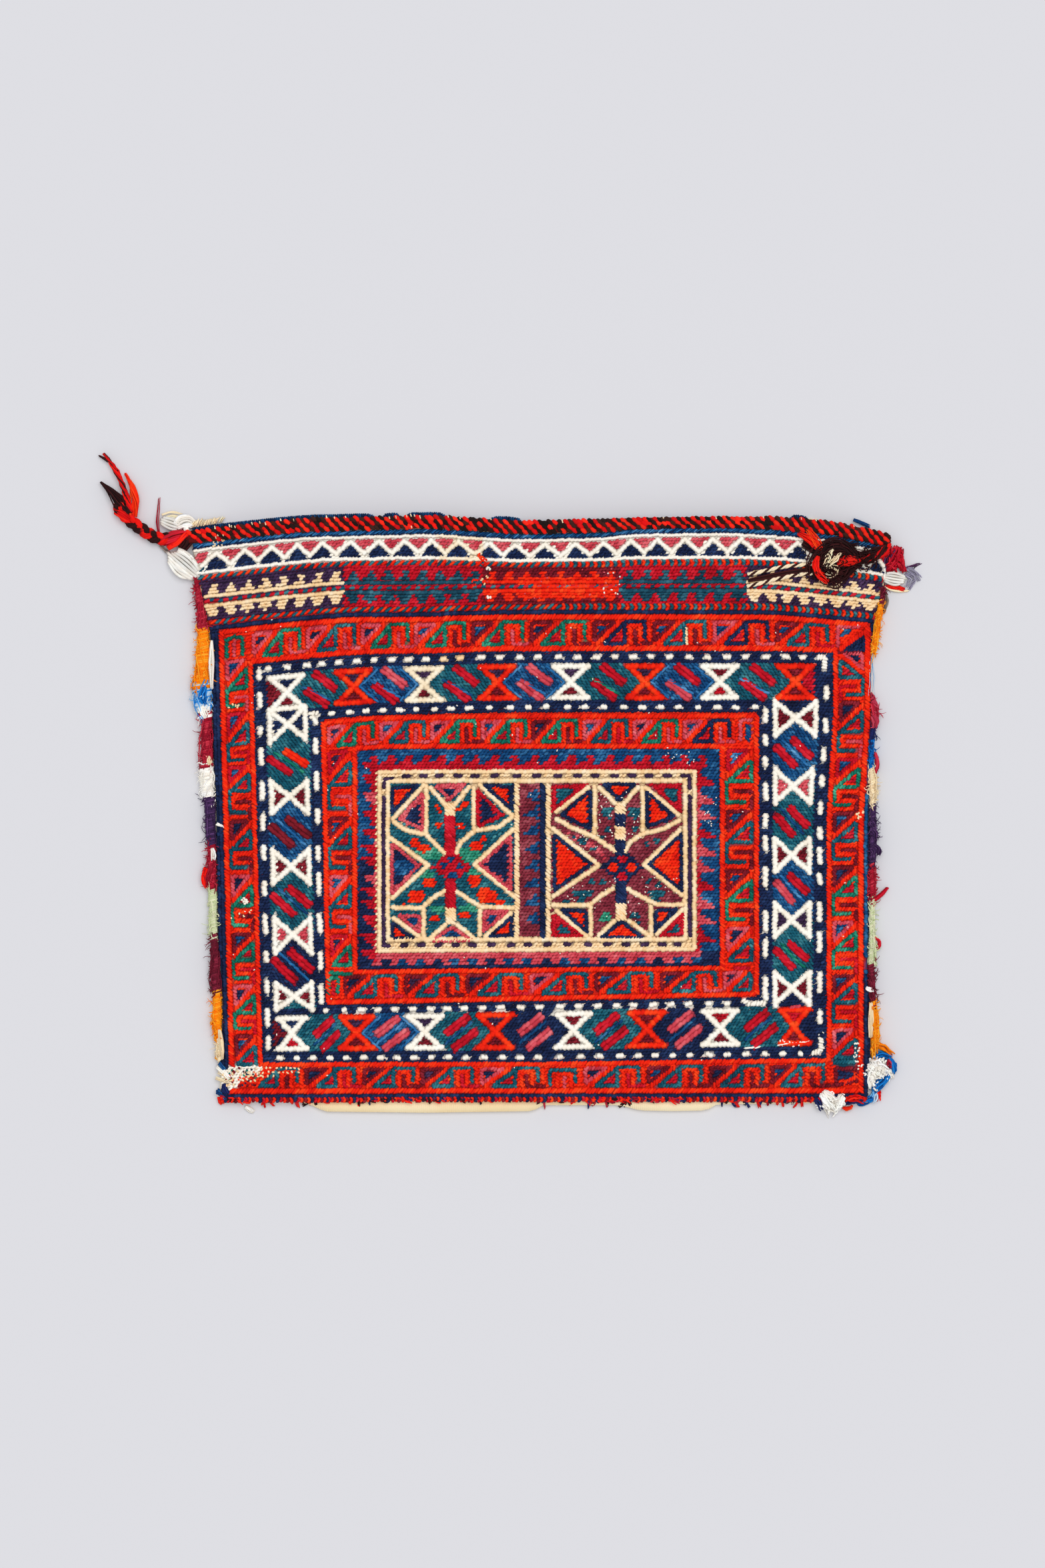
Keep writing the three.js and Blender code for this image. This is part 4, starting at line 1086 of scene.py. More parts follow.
def copies(name, unitFaces, places):  # one mesh of many small copies
    count, size = places.shape[:2]
    mesh = bpy.data.meshes.new(name)
    mesh.vertices.add(count * size)
    mesh.vertices.foreach_set("co", places.astype(np.float32).ravel())
    faces = (unitFaces[None] + (np.arange(count) * size)[:, None, None]).reshape(-1, 3)
    mesh.loops.add(faces.size)
    mesh.loops.foreach_set("vertex_index", faces.ravel().astype(np.int32))
    mesh.polygons.add(len(faces))
    mesh.polygons.foreach_set("loop_start", np.arange(0, faces.size, 3, dtype=np.int32))
    mesh.update(calc_edges=True)
    mesh.shade_smooth()
    return mesh


def gatherStitches():
    gathered = {name: [] for name in yarnNames}
    for name, x, y, lean, length, broad, lift in ropeStitches:
        full = np.ones(len(x))
        gathered[name].append(np.stack((x, y, lean * full, length * full, broad * full, lift * full), 1))
    long, broad = weave["grain"]
    for index, name in enumerate(yarnNames):
        own = ~roped & (fieldYarn == index)
        x, y, lean = gridX[own], gridY[own], fieldLean[own]
        full = np.ones(len(x))
        gathered[name].append(np.stack((x, y, lean, long * full, broad * full, 0 * full), 1))
    return {name: np.concatenate(rows) for name, rows in gathered.items()}


def insideCloth(x, y):
    gap = stitch["edgeGap"]
    return (x > valueAt(cloth["leftEdge"], y) + gap) & (x < valueAt(cloth["rightEdge"], y) - gap)


def layStitches(rows):  # the corners of every grain, and its shade
    unitPlaces, unitFaces = roundUnit(4, 3, turned=True)
    x, y = lay(rows[:, 0], rows[:, 1])
    x = x + chance.normal(0, stitch["wander"], len(x))
    y = y + chance.normal(0, stitch["wander"], len(y))
    kept = insideCloth(x, y)
    rows, x, y = rows[kept], x[kept], y[kept]
    lean = np.radians(rows[:, 2] + chance.normal(0, stitch["turn"], len(x)))
    unit = chart["unit"]
    long = rows[:, 3] * unit / 2 * chance.uniform(*stitch["long"], len(x))
    broad = rows[:, 4] * unit / 2 * chance.uniform(*stitch["broad"], len(x))
    tall = stitch["thickness"] / 2 * chance.uniform(*stitch["tall"], len(x))
    along = unitPlaces[None, :, 0] * long[:, None]
    aside = unitPlaces[None, :, 1] * broad[:, None]
    worldX, worldY = onGround(x, y)
    placeX = worldX[:, None] + along * np.cos(lean)[:, None] - aside * np.sin(lean)[:, None]
    placeY = worldY[:, None] + along * np.sin(lean)[:, None] + aside * np.cos(lean)[:, None]
    base = frontTop(placeX / unit + chart["middleX"], chart["middleY"] - placeY / unit)
    placeZ = base + rows[:, 5:6] * stitch["ropeLift"] + unitPlaces[None, :, 2] * tall[:, None]
    shade = chance.normal(0, stitch["shade"], len(x))[:, None] + np.zeros(len(unitPlaces))[None]
    return np.stack((placeX, placeY, placeZ), 2), unitFaces, shade


stitchPieces = []
total = 0
for yarnName, stitchRows in gatherStitches().items():
    grainPlaces, grainFaces, grainShade = layStitches(stitchRows)
    stitchMesh = copies(f"{yarnName}_stitches", grainFaces, grainPlaces)
    addShade(stitchMesh, grainShade.ravel())
    piece = newObject(f"{yarnName}_stitches", stitchMesh, woolMaterial(f"{yarnName} wool", yarns[yarnName]))
    stitchPieces.append(piece)
    total += len(grainPlaces) * len(grainFaces)
    print(yarnName, len(grainPlaces), "stitches")
print("stitch triangles", total)

# Ground cloth under the stitches; its top is painted a shade darker than their yarn, as shade in the gaps
# between them
groundWeave = {"across": 129, "down": 119, "shade": 0.9, "under": (226, 208, 170), "sink": 0.0003,
               "clear": 0.0001, "mouthGap": 1, "footGap": 5, "sides": (300.0, 1310.0)}


def clothPiece(name, shape, drop, material):  # a laid grid, closed by an underside
    thick = bmesh.ops.extrude_face_region(shape, geom=shape.faces[:])
    for item in thick["geom"]:
        if isinstance(item, bmesh.types.BMVert):
            drop(item)
    bmesh.ops.recalc_face_normals(shape, faces=shape.faces)
    mesh = bpy.data.meshes.new(name)
    shape.to_mesh(mesh)
    shape.free()
    mesh.shade_smooth()
    return newObject(name, mesh, material)


def groundSides(y):  # the chart's x where the cloth's sides lie
    startX, endX = (np.full(len(y), side) for side in groundWeave["sides"])
    for _ in range(4):
        laidX, laidY = lay(startX, y)
        startX = startX + valueAt(cloth["leftEdge"], laidY) - laidX
        laidX, laidY = lay(endX, y)
        endX = endX + valueAt(cloth["rightEdge"], laidY) - laidX
    return startX, endX


def groundCloth():
    shape = bmesh.new()
    bmesh.ops.create_grid(shape, x_segments=groundWeave["across"], y_segments=groundWeave["down"], size=0.5)
    tint = shape.verts.layers.float_color.new("yarnColour")
    corners = np.array([corner.co[:] for corner in shape.verts])
    high = chart["foot"] - chart["mouth"] - groundWeave["footGap"]
    y = chart["mouth"] - groundWeave["mouthGap"] + (0.5 - corners[:, 1]) * high
    startX, endX = groundSides(y)
    x = startX + (endX - startX) * (corners[:, 0] + 0.5)
    laidX, laidY = lay(x, y)
    worldX, worldY = onGround(laidX, laidY)
    top = frontTop(laidX, laidY) - groundWeave["sink"]
    under = frontUnder(laidX, laidY) + groundWeave["clear"]
    rows = np.clip(np.round((y - gridY[0, 0]) / weave["rowPitch"]).astype(int), 0, gridX.shape[0] - 1)
    columns = np.round((x - gridX[rows, 0]) / weave["stitchPitch"]).astype(int)
    columns = np.clip(columns, 0, gridX.shape[1] - 1)
    # each yarn's main tone darkened by the shade share: painted shade between the stitches
    dyes = [linear(*(groundWeave["shade"] * v for v in yarns[name][1])) for name in yarnNames]
    lowest = {}
    for index, corner in enumerate(shape.verts):
        corner.co = (worldX[index], worldY[index], top[index])
        corner[tint] = dyes[fieldYarn[rows[index], columns[index]]]
        lowest[corner.co.copy().freeze()] = under[index]

    def drop(corner):
        corner.co.z = lowest[corner.co.copy().freeze()]
        corner[tint] = linear(*groundWeave["under"])

    return clothPiece("front_ground_cloth", shape, drop, tintedMaterial("ground weave", finishes["ground"]))


ground = groundCloth()
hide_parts("front_panel")
print("ground cloth laid")

# Yarn runs: one short tube with round ends, bent along each path
yarnFinish = tintedMaterial("plied yarn", finishes["yarn"])
runEnd = 0.6  # how far the round end of a run stands out, in radii


def unitRun(rings, sides):
    places, faces = roundUnit(sides, rings + 1)
    ring = np.round(np.arccos(np.clip(places[:, 2], -1, 1)) / math.pi * (rings + 1)).astype(int)
    return ring, np.arctan2(places[:, 1], places[:, 0]), faces


def framesAlong(paths, beside=(0, 0, 1)):  # steps of length 1 onward, across and upward at each point
    heading = np.gradient(paths, axis=-2)
    heading = heading / np.maximum(np.linalg.norm(heading, axis=-1, keepdims=True), 1e-9)
    across = np.cross(heading, np.broadcast_to(beside, paths.shape))
    across = across / np.maximum(np.linalg.norm(across, axis=-1, keepdims=True), 1e-9)
    return heading, across, np.cross(across, heading)


def yarnRuns(name, paths, radii, colours, sides=5, beside=(0, 0, 1)):
    paths = np.asarray(paths, float)
    count, rings = paths.shape[:2]
    radii = np.broadcast_to(radii, (count, rings))
    heading, across, upward = framesAlong(paths, beside)
    ring, angle, faces = unitRun(rings, sides)
    step = np.clip(ring - 1, 0, rings - 1)  # the path point of each corner
    size = radii[:, step]
    around = size * ((ring > 0) & (ring <= rings))
    onward = size * np.where(ring == 0, -runEnd, np.where(ring > rings, runEnd, 0))
    aside = (around * np.cos(angle))[:, :, None]
    above = (around * np.sin(angle))[:, :, None]
    places = paths[:, step] + across[:, step] * aside + upward[:, step] * above
    places = places + heading[:, step] * onward[:, :, None]
    mesh = copies(name, faces, places)
    colours = np.asarray(colours, float)
    if colours.ndim == 2:  # one colour for each run
        colours = np.repeat(colours[:, None], rings, 1)
    addColour(mesh, colours[:, step].reshape(-1, 4))
    return newObject(name, mesh, yarnFinish)


def tinted(tones, count, spread=0.16):  # a row of turns of one dye
    tones = np.array([linear(*t) for t in tones])
    pick = tones[chance.integers(0, len(tones), count)]
    pick[:, :3] *= chance.uniform(1 - spread, 1 + spread, (count, 1))
    return np.clip(pick, 0, 1)


wrapping = {"wander": 0.08, "swell": (0.94, 1.08), "thick": (0.88, 1.12), "floorGap": 1.02,
            "bandWander": 0.006, "bandSpread": 0.09}


def wrappedEdge(name, line, outward, half, kit, facing, colourAt, rings=8):
    # line: places along the edge, outward: the way its outer side faces, kit: its yarn and its turns
    yarn, pitch, (first, last) = kit["yarn"], kit["pitch"], np.radians(kit["arc"])
    along = np.concatenate(([0], np.cumsum(np.linalg.norm(np.diff(line, axis=0), axis=1))))
    count = int(along[-1] / pitch)
    middle = (np.arange(count) + 0.5) * along[-1] / count
    middle = middle + chance.normal(0, pitch * wrapping["wander"], count)
    angle = np.linspace(first, last, rings)
    slant = kit["slant"] * facing * np.linspace(-0.5, 0.5, rings)
    at = np.clip(middle[:, None] + slant[None], 0, along[-1])

    def read(values):
        values = np.asarray(values, float)
        if values.ndim == 1:
            return np.interp(at, along, values)
        return np.stack([np.interp(at, along, values[:, axis]) for axis in range(values.shape[1])], 2)

    swell = chance.uniform(*wrapping["swell"], (count, 1))
    reach = read(half) * np.cos(angle)[None] * swell
    paths = read(line) + read(outward) * reach[:, :, None]
    paths[:, :, 2] += kit["high"] * np.sin(angle)[None] * swell
    paths[:, :, 2] = np.maximum(paths[:, :, 2], yarn * wrapping["floorGap"])
    beside = read(np.gradient(line, axis=0))
    radii = yarn * chance.uniform(*wrapping["thick"], (count, 1)) * np.ones(rings)
    colours = colourAt(middle / along[-1])
    shown = colours[:, 3] > 0  # bare stretches have no turns
    return yarnRuns(name, paths[shown], radii[shown], colours[shown], beside=beside[shown])


def bandColours(stops, share):  # stops: (share where a colour starts, its name)
    starts = np.array([start for start, _ in stops])
    share = np.clip(share + chance.normal(0, wrapping["bandWander"], len(share)), 0, 1)
    pick = np.clip(np.searchsorted(starts, share, side="right") - 1, 0, len(stops) - 1)
    colours = np.zeros((len(share), 4))
    for index, (_, name) in enumerate(stops):
        own = pick == index
        if name != "bare":
            colours[own] = tinted(edgeTones[name], int(own.sum()), wrapping["bandSpread"])
    return colours


edgeTones = {
    "red": ((236, 22, 10), (214, 10, 12), (250, 40, 20)),
    "black": ((40, 20, 18), (28, 16, 14), (58, 30, 24)),
    "blue": ((20, 74, 132), (12, 56, 108), (40, 110, 165)),
    "deepBlue": ((14, 52, 98), (10, 40, 80), (24, 78, 128)),
    "navy": ((22, 34, 84), (30, 40, 100)),
    "crimson": ((176, 24, 50), (150, 16, 42), (200, 50, 70)),
    "maroon": ((112, 22, 44), (134, 34, 58), (96, 18, 38)),
    "orange": ((255, 150, 8), (250, 132, 4), (255, 170, 40)), "cream": ((250, 232, 196), (240, 216, 176)),
    "paleBlue": ((120, 186, 236), (40, 140, 224), (190, 216, 236)),
    "white": ((255, 252, 246), (250, 244, 234)),
    "aubergine": ((66, 40, 84), (54, 32, 70), (88, 56, 104)),
    "paleGreen": ((206, 216, 170), (222, 224, 190)),
    "brightBlue": ((4, 104, 186), (16, 124, 204), (4, 76, 146)), "rose": ((204, 70, 92), (188, 50, 76)),
    "brown": ((48, 16, 18), (62, 22, 24), (34, 12, 14)),
    "flame": ((255, 60, 12), (250, 38, 10), (255, 84, 24)),
    "plum": ((66, 30, 66), (50, 24, 54), (90, 50, 90)), "lilac": ((170, 166, 186), (150, 144, 170)),
    "greyBrown": ((126, 112, 104), (150, 138, 130)), "tuftRed": ((190, 4, 34), (160, 0, 28), (210, 30, 50)),
    "braid": ((236, 22, 10), (48, 16, 18), (214, 10, 12), (60, 20, 20)),
    "teal": ((18, 82, 106), (10, 60, 84)),
}

mouthEdge = {
    "from": 284.0, "to": 1334.0, "middle": 787.2, "high": 0.0022, "seat": 0.0026, "half": 12.5, "lip": 11,
    "narrow": ((910, 1), (950, 0.8), (1110, 0.8), (1160, 1)),  # drawn tighter beside the right corner
    "rows": (-6.2, 0.0, 6.2), "rowShift": 1.08, "start": 8, "pitch": 7.4, "turn": (3.6, 2.9),
    "strayX": 1.2, "strayDown": 0.7, "swapped": 0.07, "yarn": 0.00148, "taper": (0.8, 1, 1.05, 1, 0.8),
    "coreRows": (-4.5, 0, 4.5), "coreSteps": 90, "coreYarn": 0.0019, "coreSink": 0.0013,
    "coreColour": (96, 14, 14),
    "flecks": 22, "fleckSpan": (300, 770, 1300), "fleckRows": (-11, -7), "fleckLong": (0.8, 2.4),
    "fleckPlaces": ((325, 5), (328, 2), (336, 3), (618, 7)), "fleckYarn": 0.0004, "fleckRise": 0.0012,
}


def mouthPlaces(x, down):  # chart x, and the way below the middle of the rolled edge
    mouth = np.full(x.shape, chart["mouth"])
    laidX, laidY = lay(x, mouth)
    down = mouthEdge["lip"] + (down - mouthEdge["lip"]) * valueAt(mouthEdge["narrow"], x)
    worldX, worldY = onGround(laidX, laidY + mouthEdge["middle"] - chart["mouth"] + down)
    crown = np.sqrt(np.clip(1 - (down / mouthEdge["half"]) ** 2, 0.05, 1))
    height = frontUnder(laidX, mouth) + mouthEdge["seat"] + mouthEdge["high"] * crown
    return np.stack((worldX, worldY, height), -1)


def mouthWrap():  # short slanting turns of red and black, three to the width of the edge
    step = np.linspace(-1, 1, len(mouthEdge["taper"]))[None]
    aside, below = mouthEdge["turn"]
    paths, colours = [], []
    for edgeRow in mouthEdge["rows"]:
        start = mouthEdge["from"] + mouthEdge["start"] + edgeRow * mouthEdge["rowShift"]
        x = np.arange(start, mouthEdge["to"], mouthEdge["pitch"])
        count = len(x)
        x = x + chance.normal(0, mouthEdge["strayX"], count)
        down = edgeRow + chance.normal(0, mouthEdge["strayDown"], count)
        paths.append(mouthPlaces(x[:, None] + aside * step, down[:, None] + below * step))
        red = ((np.arange(count) % 2 == 0) ^ (chance.uniform(0, 1, count) < mouthEdge["swapped"]))[:, None]
        colours.append(np.where(red, tinted(edgeTones["red"], count), tinted(edgeTones["black"], count)))
    radii = mouthEdge["yarn"] * np.array(mouthEdge["taper"])
    return yarnRuns("mouth_edge_wrapping", np.concatenate(paths), radii, np.concatenate(colours), sides=6)


def mouthCore():
    steps, rows = mouthEdge["coreSteps"], mouthEdge["coreRows"]
    x = np.linspace(mouthEdge["from"], mouthEdge["to"], steps)
    sink = (0, 0, mouthEdge["coreSink"])
    inner = np.stack([mouthPlaces(x, np.full(steps, down)) - sink for down in rows])
    colours = np.array([linear(*mouthEdge["coreColour"])] * len(rows))
    return yarnRuns("mouth_edge_core", inner, mouthEdge["coreYarn"], colours, sides=8)


def mouthFlecks():  # pale threads that show where the wrapping has worn
    low, worn, high = mouthEdge["fleckSpan"]
    count = mouthEdge["flecks"]
    ownX, ownDown = zip(*mouthEdge["fleckPlaces"])
    x = np.concatenate((chance.uniform(low, worn, count), chance.uniform(worn, high, count // 3), ownX))
    down = np.concatenate((chance.uniform(*mouthEdge["fleckRows"], len(x) - len(ownX)), ownDown))
    step = np.linspace(-1, 1, 5)[None]
    long = chance.uniform(*mouthEdge["fleckLong"], (len(x), 1))
    paths = mouthPlaces(x[:, None] + 0.3 * long * step, down[:, None] + long * step)
    paths = paths + (0, 0, mouthEdge["fleckRise"])
    colours = tinted(edgeTones["cream"], len(x))
    return yarnRuns("mouth_edge_flecks", paths, mouthEdge["fleckYarn"], colours, sides=4)


mouthPieces = mouthWrap(), mouthCore(), mouthFlecks()
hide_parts("left_mouth_corner_wrap", "mouth_edge_wrap", "right_mouth_corner_wrap")


# Loose yarn: strands along (x, y, height in mm) places of the lying chart, and puffs of curls about one
def strand(dye, count, wide, *line, **more):
    return {"line": line, "count": count, "wide": wide, "dye": dye, **more}


def puff(dye, count, wide, place, **more):
    return {"puff": place, "count": count, "wide": wide, "dye": dye, **more}


sideEdges = {
    "high": 0.0026, "yarn": 0.00065, "pitch": 0.001, "slant": 0.0034, "steps": 140, "middle": 0.0034,
    "arc": (-80, 215), "overlap": 1.5, "leastHalf": 0.0011, "sunk": 0.6, "lumps": ((0.09, 7.3), (0.07, 3.1)),
    "bundle": {"thick": 0.62, "yarn": 0.0004, "sway": 0.0004, "slide": 0.0025},
    "bundleOverlap": 2, "bundleHigh": 4.3, "bundleShare": 0.25, "bundleLeast": 6, "bundleTwist": 0.4,
    "curls": {"count": 900, "yarn": 0.00042, "across": (-1, 0.9), "long": (0.0022, 0.0048), "out": 0,
              "up": 0.1},
    "hairs": {"count": 300, "yarn": 0.0002, "across": (0.3, 1.1), "long": (0.0025, 0.006), "out": 0.5,
              "up": 0.05},
    "fuzzHigh": (-0.001, 0.0026), "fuzzBend": (0.0008, 0.0018), "fuzzTaper": (1, 1, 0.9, 0.8, 0.45),
    "left": ((872, 293), (940, 297), (990, 295), (1020, 292), (1035, 289), (1058, 291), (1070, 296),
             (1080, 302), (1145, 303), (1150, 300), (1190, 300), (1205, 308), (1240, 308), (1270, 312),
             (1300, 312), (1318, 309), (1335, 313), (1400, 316), (1440, 317), (1463, 315), (1490, 320),
             (1530, 319), (1560, 326), (1592, 329)),
    "right": ((884, 1326), (905, 1323), (945, 1319), (978, 1310), (1050, 1309), (1062, 1316), (1084, 1316),
              (1094, 1309), (1150, 1309), (1165, 1313), (1200, 1312), (1250, 1315), (1262, 1312),
              (1275, 1316), (1290, 1311), (1350, 1312), (1370, 1310), (1440, 1311), (1490, 1313),
              (1540, 1317), (1572, 1316)),
    "leftYarns": ((872, "crimson"), (944, "orange"), (1032, "paleBlue"), (1062, "white"), (1076, "crimson"),
                  (1148, "white"), (1199, "aubergine"), (1268, "crimson"), (1332, "paleGreen"),
                  (1403, "maroon"), (1490, "orange"), (1560, "cream")),
    "rightYarns": ((884, "maroon"), (906, "orange"), (979, "bare"), (1052, "rose"), (1090, "navy"),
                   (1112, "brightBlue"), (1152, "cream"), (1206, "aubergine"), (1300, "crimson"),
                   (1352, "paleGreen"), (1446, "maroon"), (1504, "orange")),
    "leftStrands": (
        strand("white", 16, (3, 11, 4), (318, 962, 6.6), (317, 1000, 7), (318, 1033, 6.6)),
        strand("brightBlue", 16, (6, 10, 7), (308, 1030, 6), (305, 1045, 6.8), (308, 1058, 6)),
        strand("paleBlue", 22, (8, 18, 8), (301, 1024, 4), (297, 1050, 4.5), (306, 1080, 5),
               sway=0.0005, yarn=0.0003),
        strand("white", 14, (8, 13, 8), (303, 1060, 6), (306, 1068, 6.8), (311, 1076, 6)),
        strand("cream", 8, (5, 8, 5), (312, 1135, 6.4), (314, 1141, 7), (315, 1148, 6.4)),
        strand("white", 5, (5, 4, 2), (326, 1236, 6.6), (330, 1238, 7), (335, 1240, 6.6)),
        strand("white", 6, (4, 7, 4), (319, 1273, 6.6), (321, 1281, 7), (321, 1290, 6.6)),
        strand("red", 8, (5, 6, 4), (310, 1302, 5), (305, 1318, 5), (310, 1332, 4)),
        strand("cream", 10, (3, 8, 3), (330, 1545, 6.6), (333, 1565, 7), (334, 1588, 6.6))),
    "rightStrands": (
        strand("crimson", 10, (6, 9, 6), (1308, 1056, 6), (1312, 1066, 6.6), (1313, 1076, 6)),
        strand("rose", 14, (9, 15, 9), (1309, 1074, 6), (1315, 1083, 6.6), (1312, 1092, 6)),
        strand("crimson", 9, (4, 8, 4), (1312, 1130, 5), (1316, 1145, 5.4), (1312, 1160, 5)),
        strand("aubergine", 9, (6, 10, 6), (1309, 1245, 6), (1314, 1250, 6.4), (1313, 1257, 6)),
        strand("aubergine", 9, (6, 10, 6), (1310, 1270, 6), (1317, 1275, 6.4), (1315, 1282, 6)),
        strand("tuftRed", 8, (7, 6, 3), (1307, 1351, 4), (1319, 1344, 4), (1331, 1332, 2)),
        strand("tuftRed", 6, (4, 4, 3), (1307, 1405, 5), (1318, 1408, 5), (1322, 1416, 4),
               (1314, 1424, 4)),
        strand("white", 8, (4, 8, 4), (1299, 1482, 7), (1304, 1485, 7.2), (1309, 1487, 6.4)),
        strand("cream", 12, (3, 8, 3), (1306, 1505, 6.6), (1306, 1530, 7), (1306, 1556, 6.6)),
        strand("paleBlue", 4, (5, 8, 5), (1306, 985, 3), (1310, 1012, 3.4), (1308, 1045, 3),
               sway=0.0005, yarn=0.00016)),
}


def sideBinding(key, facing):
    outline, edge = np.array(sideEdges[key], float), cloth[f"{key}Edge"]
    steps, (first, last) = sideEdges["steps"], outline[[0, -1], 0]
    y = np.linspace(first, last, steps)
    outer, inner = valueAt(outline, y), valueAt(edge, y) + sideEdges["overlap"] * facing
    worldX, worldY = onGround((outer + inner) / 2, y)
    half = np.abs(outer - inner) / 2 * chart["unit"] - sideEdges["yarn"] * sideEdges["sunk"]
    (lump, lumpLong), (knob, knobLong) = sideEdges["lumps"]
    uneven = 1 + lump * np.sin(y / lumpLong + facing) + knob * np.sin(y / knobLong)
    half = np.maximum(half, sideEdges["leastHalf"]) * uneven
    line = np.stack((worldX, worldY, np.full(steps, sideEdges["middle"])), 1)
    outward = np.tile((facing, 0.0, 0.0), (steps, 1))
    stops = [((start - first) / (last - first), name) for start, name in sideEdges[f"{key}Yarns"]]
    piece = wrappedEdge(f"{key}_edge_overcasting", line, outward, half, sideEdges, facing,
                        lambda share: bandColours(stops, share))
    fuzz = edgeFuzz(f"{key}_edge_fuzz", line, half, facing, stops)
    runs = [*edgeBundle(key, facing, outline, edge), *sideEdges[f"{key}Strands"]]
    return piece, fuzz, strandPiece(f"{key}_edge_bundle", runs, rings=8)


def edgeBundle(key, facing, outline, edge):  # slack yarn under each band of turns
    bands = sideEdges[f"{key}Yarns"]
    runs = []
    for (start, dye), end in zip(bands, [start for start, _ in bands[1:]] + [outline[-1, 0]]):
        y = np.linspace(start, end, 5)
        rim, inner = valueAt(outline, y), valueAt(edge, y) + sideEdges["bundleOverlap"] * facing
        if dye != "bare":
            count = int((end - start) * sideEdges["bundleShare"]) + sideEdges["bundleLeast"]
            line = np.stack(((rim + inner) / 2, y, np.full(5, sideEdges["bundleHigh"])), 1)
            runs.append(strand(dye, count, np.abs(rim - inner) - 1, *line, **sideEdges["bundle"],
                               twist=chance.normal(0, sideEdges["bundleTwist"])))
    return runs


def edgeFuzz(name, line, half, facing, stops):  # soft curls and loose fibres along an overcast side
    steps = np.linspace(0, 1, len(line))
    paths, radii, colours = [], [], []
    for kind in (sideEdges["curls"], sideEdges["hairs"]):
        count = kind["count"]
        share = np.sort(chance.uniform(0, 1, count))
        start = np.stack([np.interp(share, steps, line[:, axis]) for axis in range(3)], 1)
        start[:, 0] += facing * np.interp(share, steps, half) * chance.uniform(*kind["across"], count)
        start[:, 2] += chance.uniform(*sideEdges["fuzzHigh"], count)
        lean = (facing * kind["out"], 0, kind["up"])
        paths.append(loosePaths(start, lean, sideEdges["fuzzBend"], kind["long"], upright=True))
        radii.append(np.outer(np.ones(count), kind["yarn"] * np.array(sideEdges["fuzzTaper"])))
        colours.append(bandColours(stops, share))
    paths, radii, colours = np.concatenate(paths), np.concatenate(radii), np.concatenate(colours)
    shown = colours[:, 3] > 0
    return yarnRuns(name, paths[shown], radii[shown], colours[shown], sides=4)


looseYarn = {
    "yarn": 0.00055, "taper": ((0, 1), (0.7, 0.95), (1, 0.55)), "sway": 0.00012, "thick": 0.5,
    "floorGap": 1.05, "stray": 0.45, "upright": (0.4, 1.0), "curl": 2.6, "lowest": 0.0003,
    "puffHigh": 0.0011, "puffUp": (0, 0, 0.15), "puffBend": (0.001, 0.0026), "puffLong": (0.002, 0.0055),
}


def loosePaths(start, lean, bend, length, upright=False, rings=5):  # short curling hairs
    count = len(start)
    way = chance.normal(0, looseYarn["stray"], (count, 3)) + np.array(lean)
    if upright:
        way[:, 1] += chance.choice((-1, 1), count) * chance.uniform(*looseYarn["upright"], count)
    way /= np.linalg.norm(way, axis=1, keepdims=True)
    curl = chance.normal(0, 1, (count, 3))
    curl -= way * (curl * way).sum(1, keepdims=True)
    curl /= np.linalg.norm(curl, axis=1, keepdims=True)
    long = chance.uniform(*length, (count, 1, 1))
    sway = chance.uniform(*bend, (count, 1, 1))
    t = np.linspace(0, 1, rings)[None, :, None]
    paths = start[:, None] + way[:, None] * long * t + curl[:, None] * sway * np.sin(t * looseYarn["curl"])
    paths[:, :, 2] = np.maximum(paths[:, :, 2], looseYarn["lowest"])
    return paths


backCloth = {
    "colour": (255, 238, 200), "stripe": (250, 222, 172), "thickness": 0.0015, "across": 90, "down": 76,
    "from": 300, "wide": 1010, "mouthGap": 2, "overlap": 1, "clear": 0.0001, "reach": 14.0, "peek": 9.6,
    "shows": ((270, 560), (576, 600), (610, 668), (738, 780), (1186, 1210)), "showSoft": 10,
    "hem": ((330, 1650), (440, 1651), (465, 1656), (487, 1667), (640, 1669), (800, 1667), (815, 1658),
            (930, 1658), (960, 1666), (1010, 1667), (1060, 1666), (1075, 1657), (1300, 1654)),
    "hemFrom": 0.93, "hemLong": 0.07, "roll": 0.0018, "rollLong": 0.006,
}


def backReach(x):  # how far the back's edge lies beyond the front's, more where it shows
    soft = backCloth["showSoft"]
    shown = 0
    for low, high in backCloth["shows"]:
        shown = shown + ease((x - low) / soft + 0.5) * ease((high - x) / soft + 0.5)
    return backCloth["reach"] + backCloth["peek"] * shown


def backSheet():
    shape = bmesh.new()
    bmesh.ops.create_grid(shape, x_segments=backCloth["across"], y_segments=backCloth["down"], size=0.5)
    overlap = backCloth["overlap"]
    for corner in shape.verts:
        across, down = corner.co.x + 0.5, 0.5 - corner.co.y
        x = backCloth["from"] + backCloth["wide"] * across
        mouth = chart["mouth"] + backCloth["mouthGap"] - backReach(x)
        y = mouth + (chart["foot"] - mouth) * down
        _, laidY = lay(x, max(y, chart["mouth"]))
        low = valueAt(cloth["leftEdge"], laidY) - overlap
        high = valueAt(cloth["rightEdge"], laidY) + overlap
        laidX = low + (high - low) * across
        hem = valueAt(backCloth["hem"], laidX) - chart["foot"]
        hem = hem * ease((down - backCloth["hemFrom"]) / backCloth["hemLong"])
        worldX, worldY = onGround(float(laidX), float(laidY) + min(0.0, y - chart["mouth"]) + hem)
        roll = backCloth["roll"] * math.exp(-((1 - down) / backCloth["rollLong"]) ** 2)
        corner.co = (worldX, worldY, backCloth["thickness"] + roll)

    def drop(corner):
        corner.co.z = backCloth["clear"]

    return clothPiece("back_cloth", shape, drop, cottonMaterial())


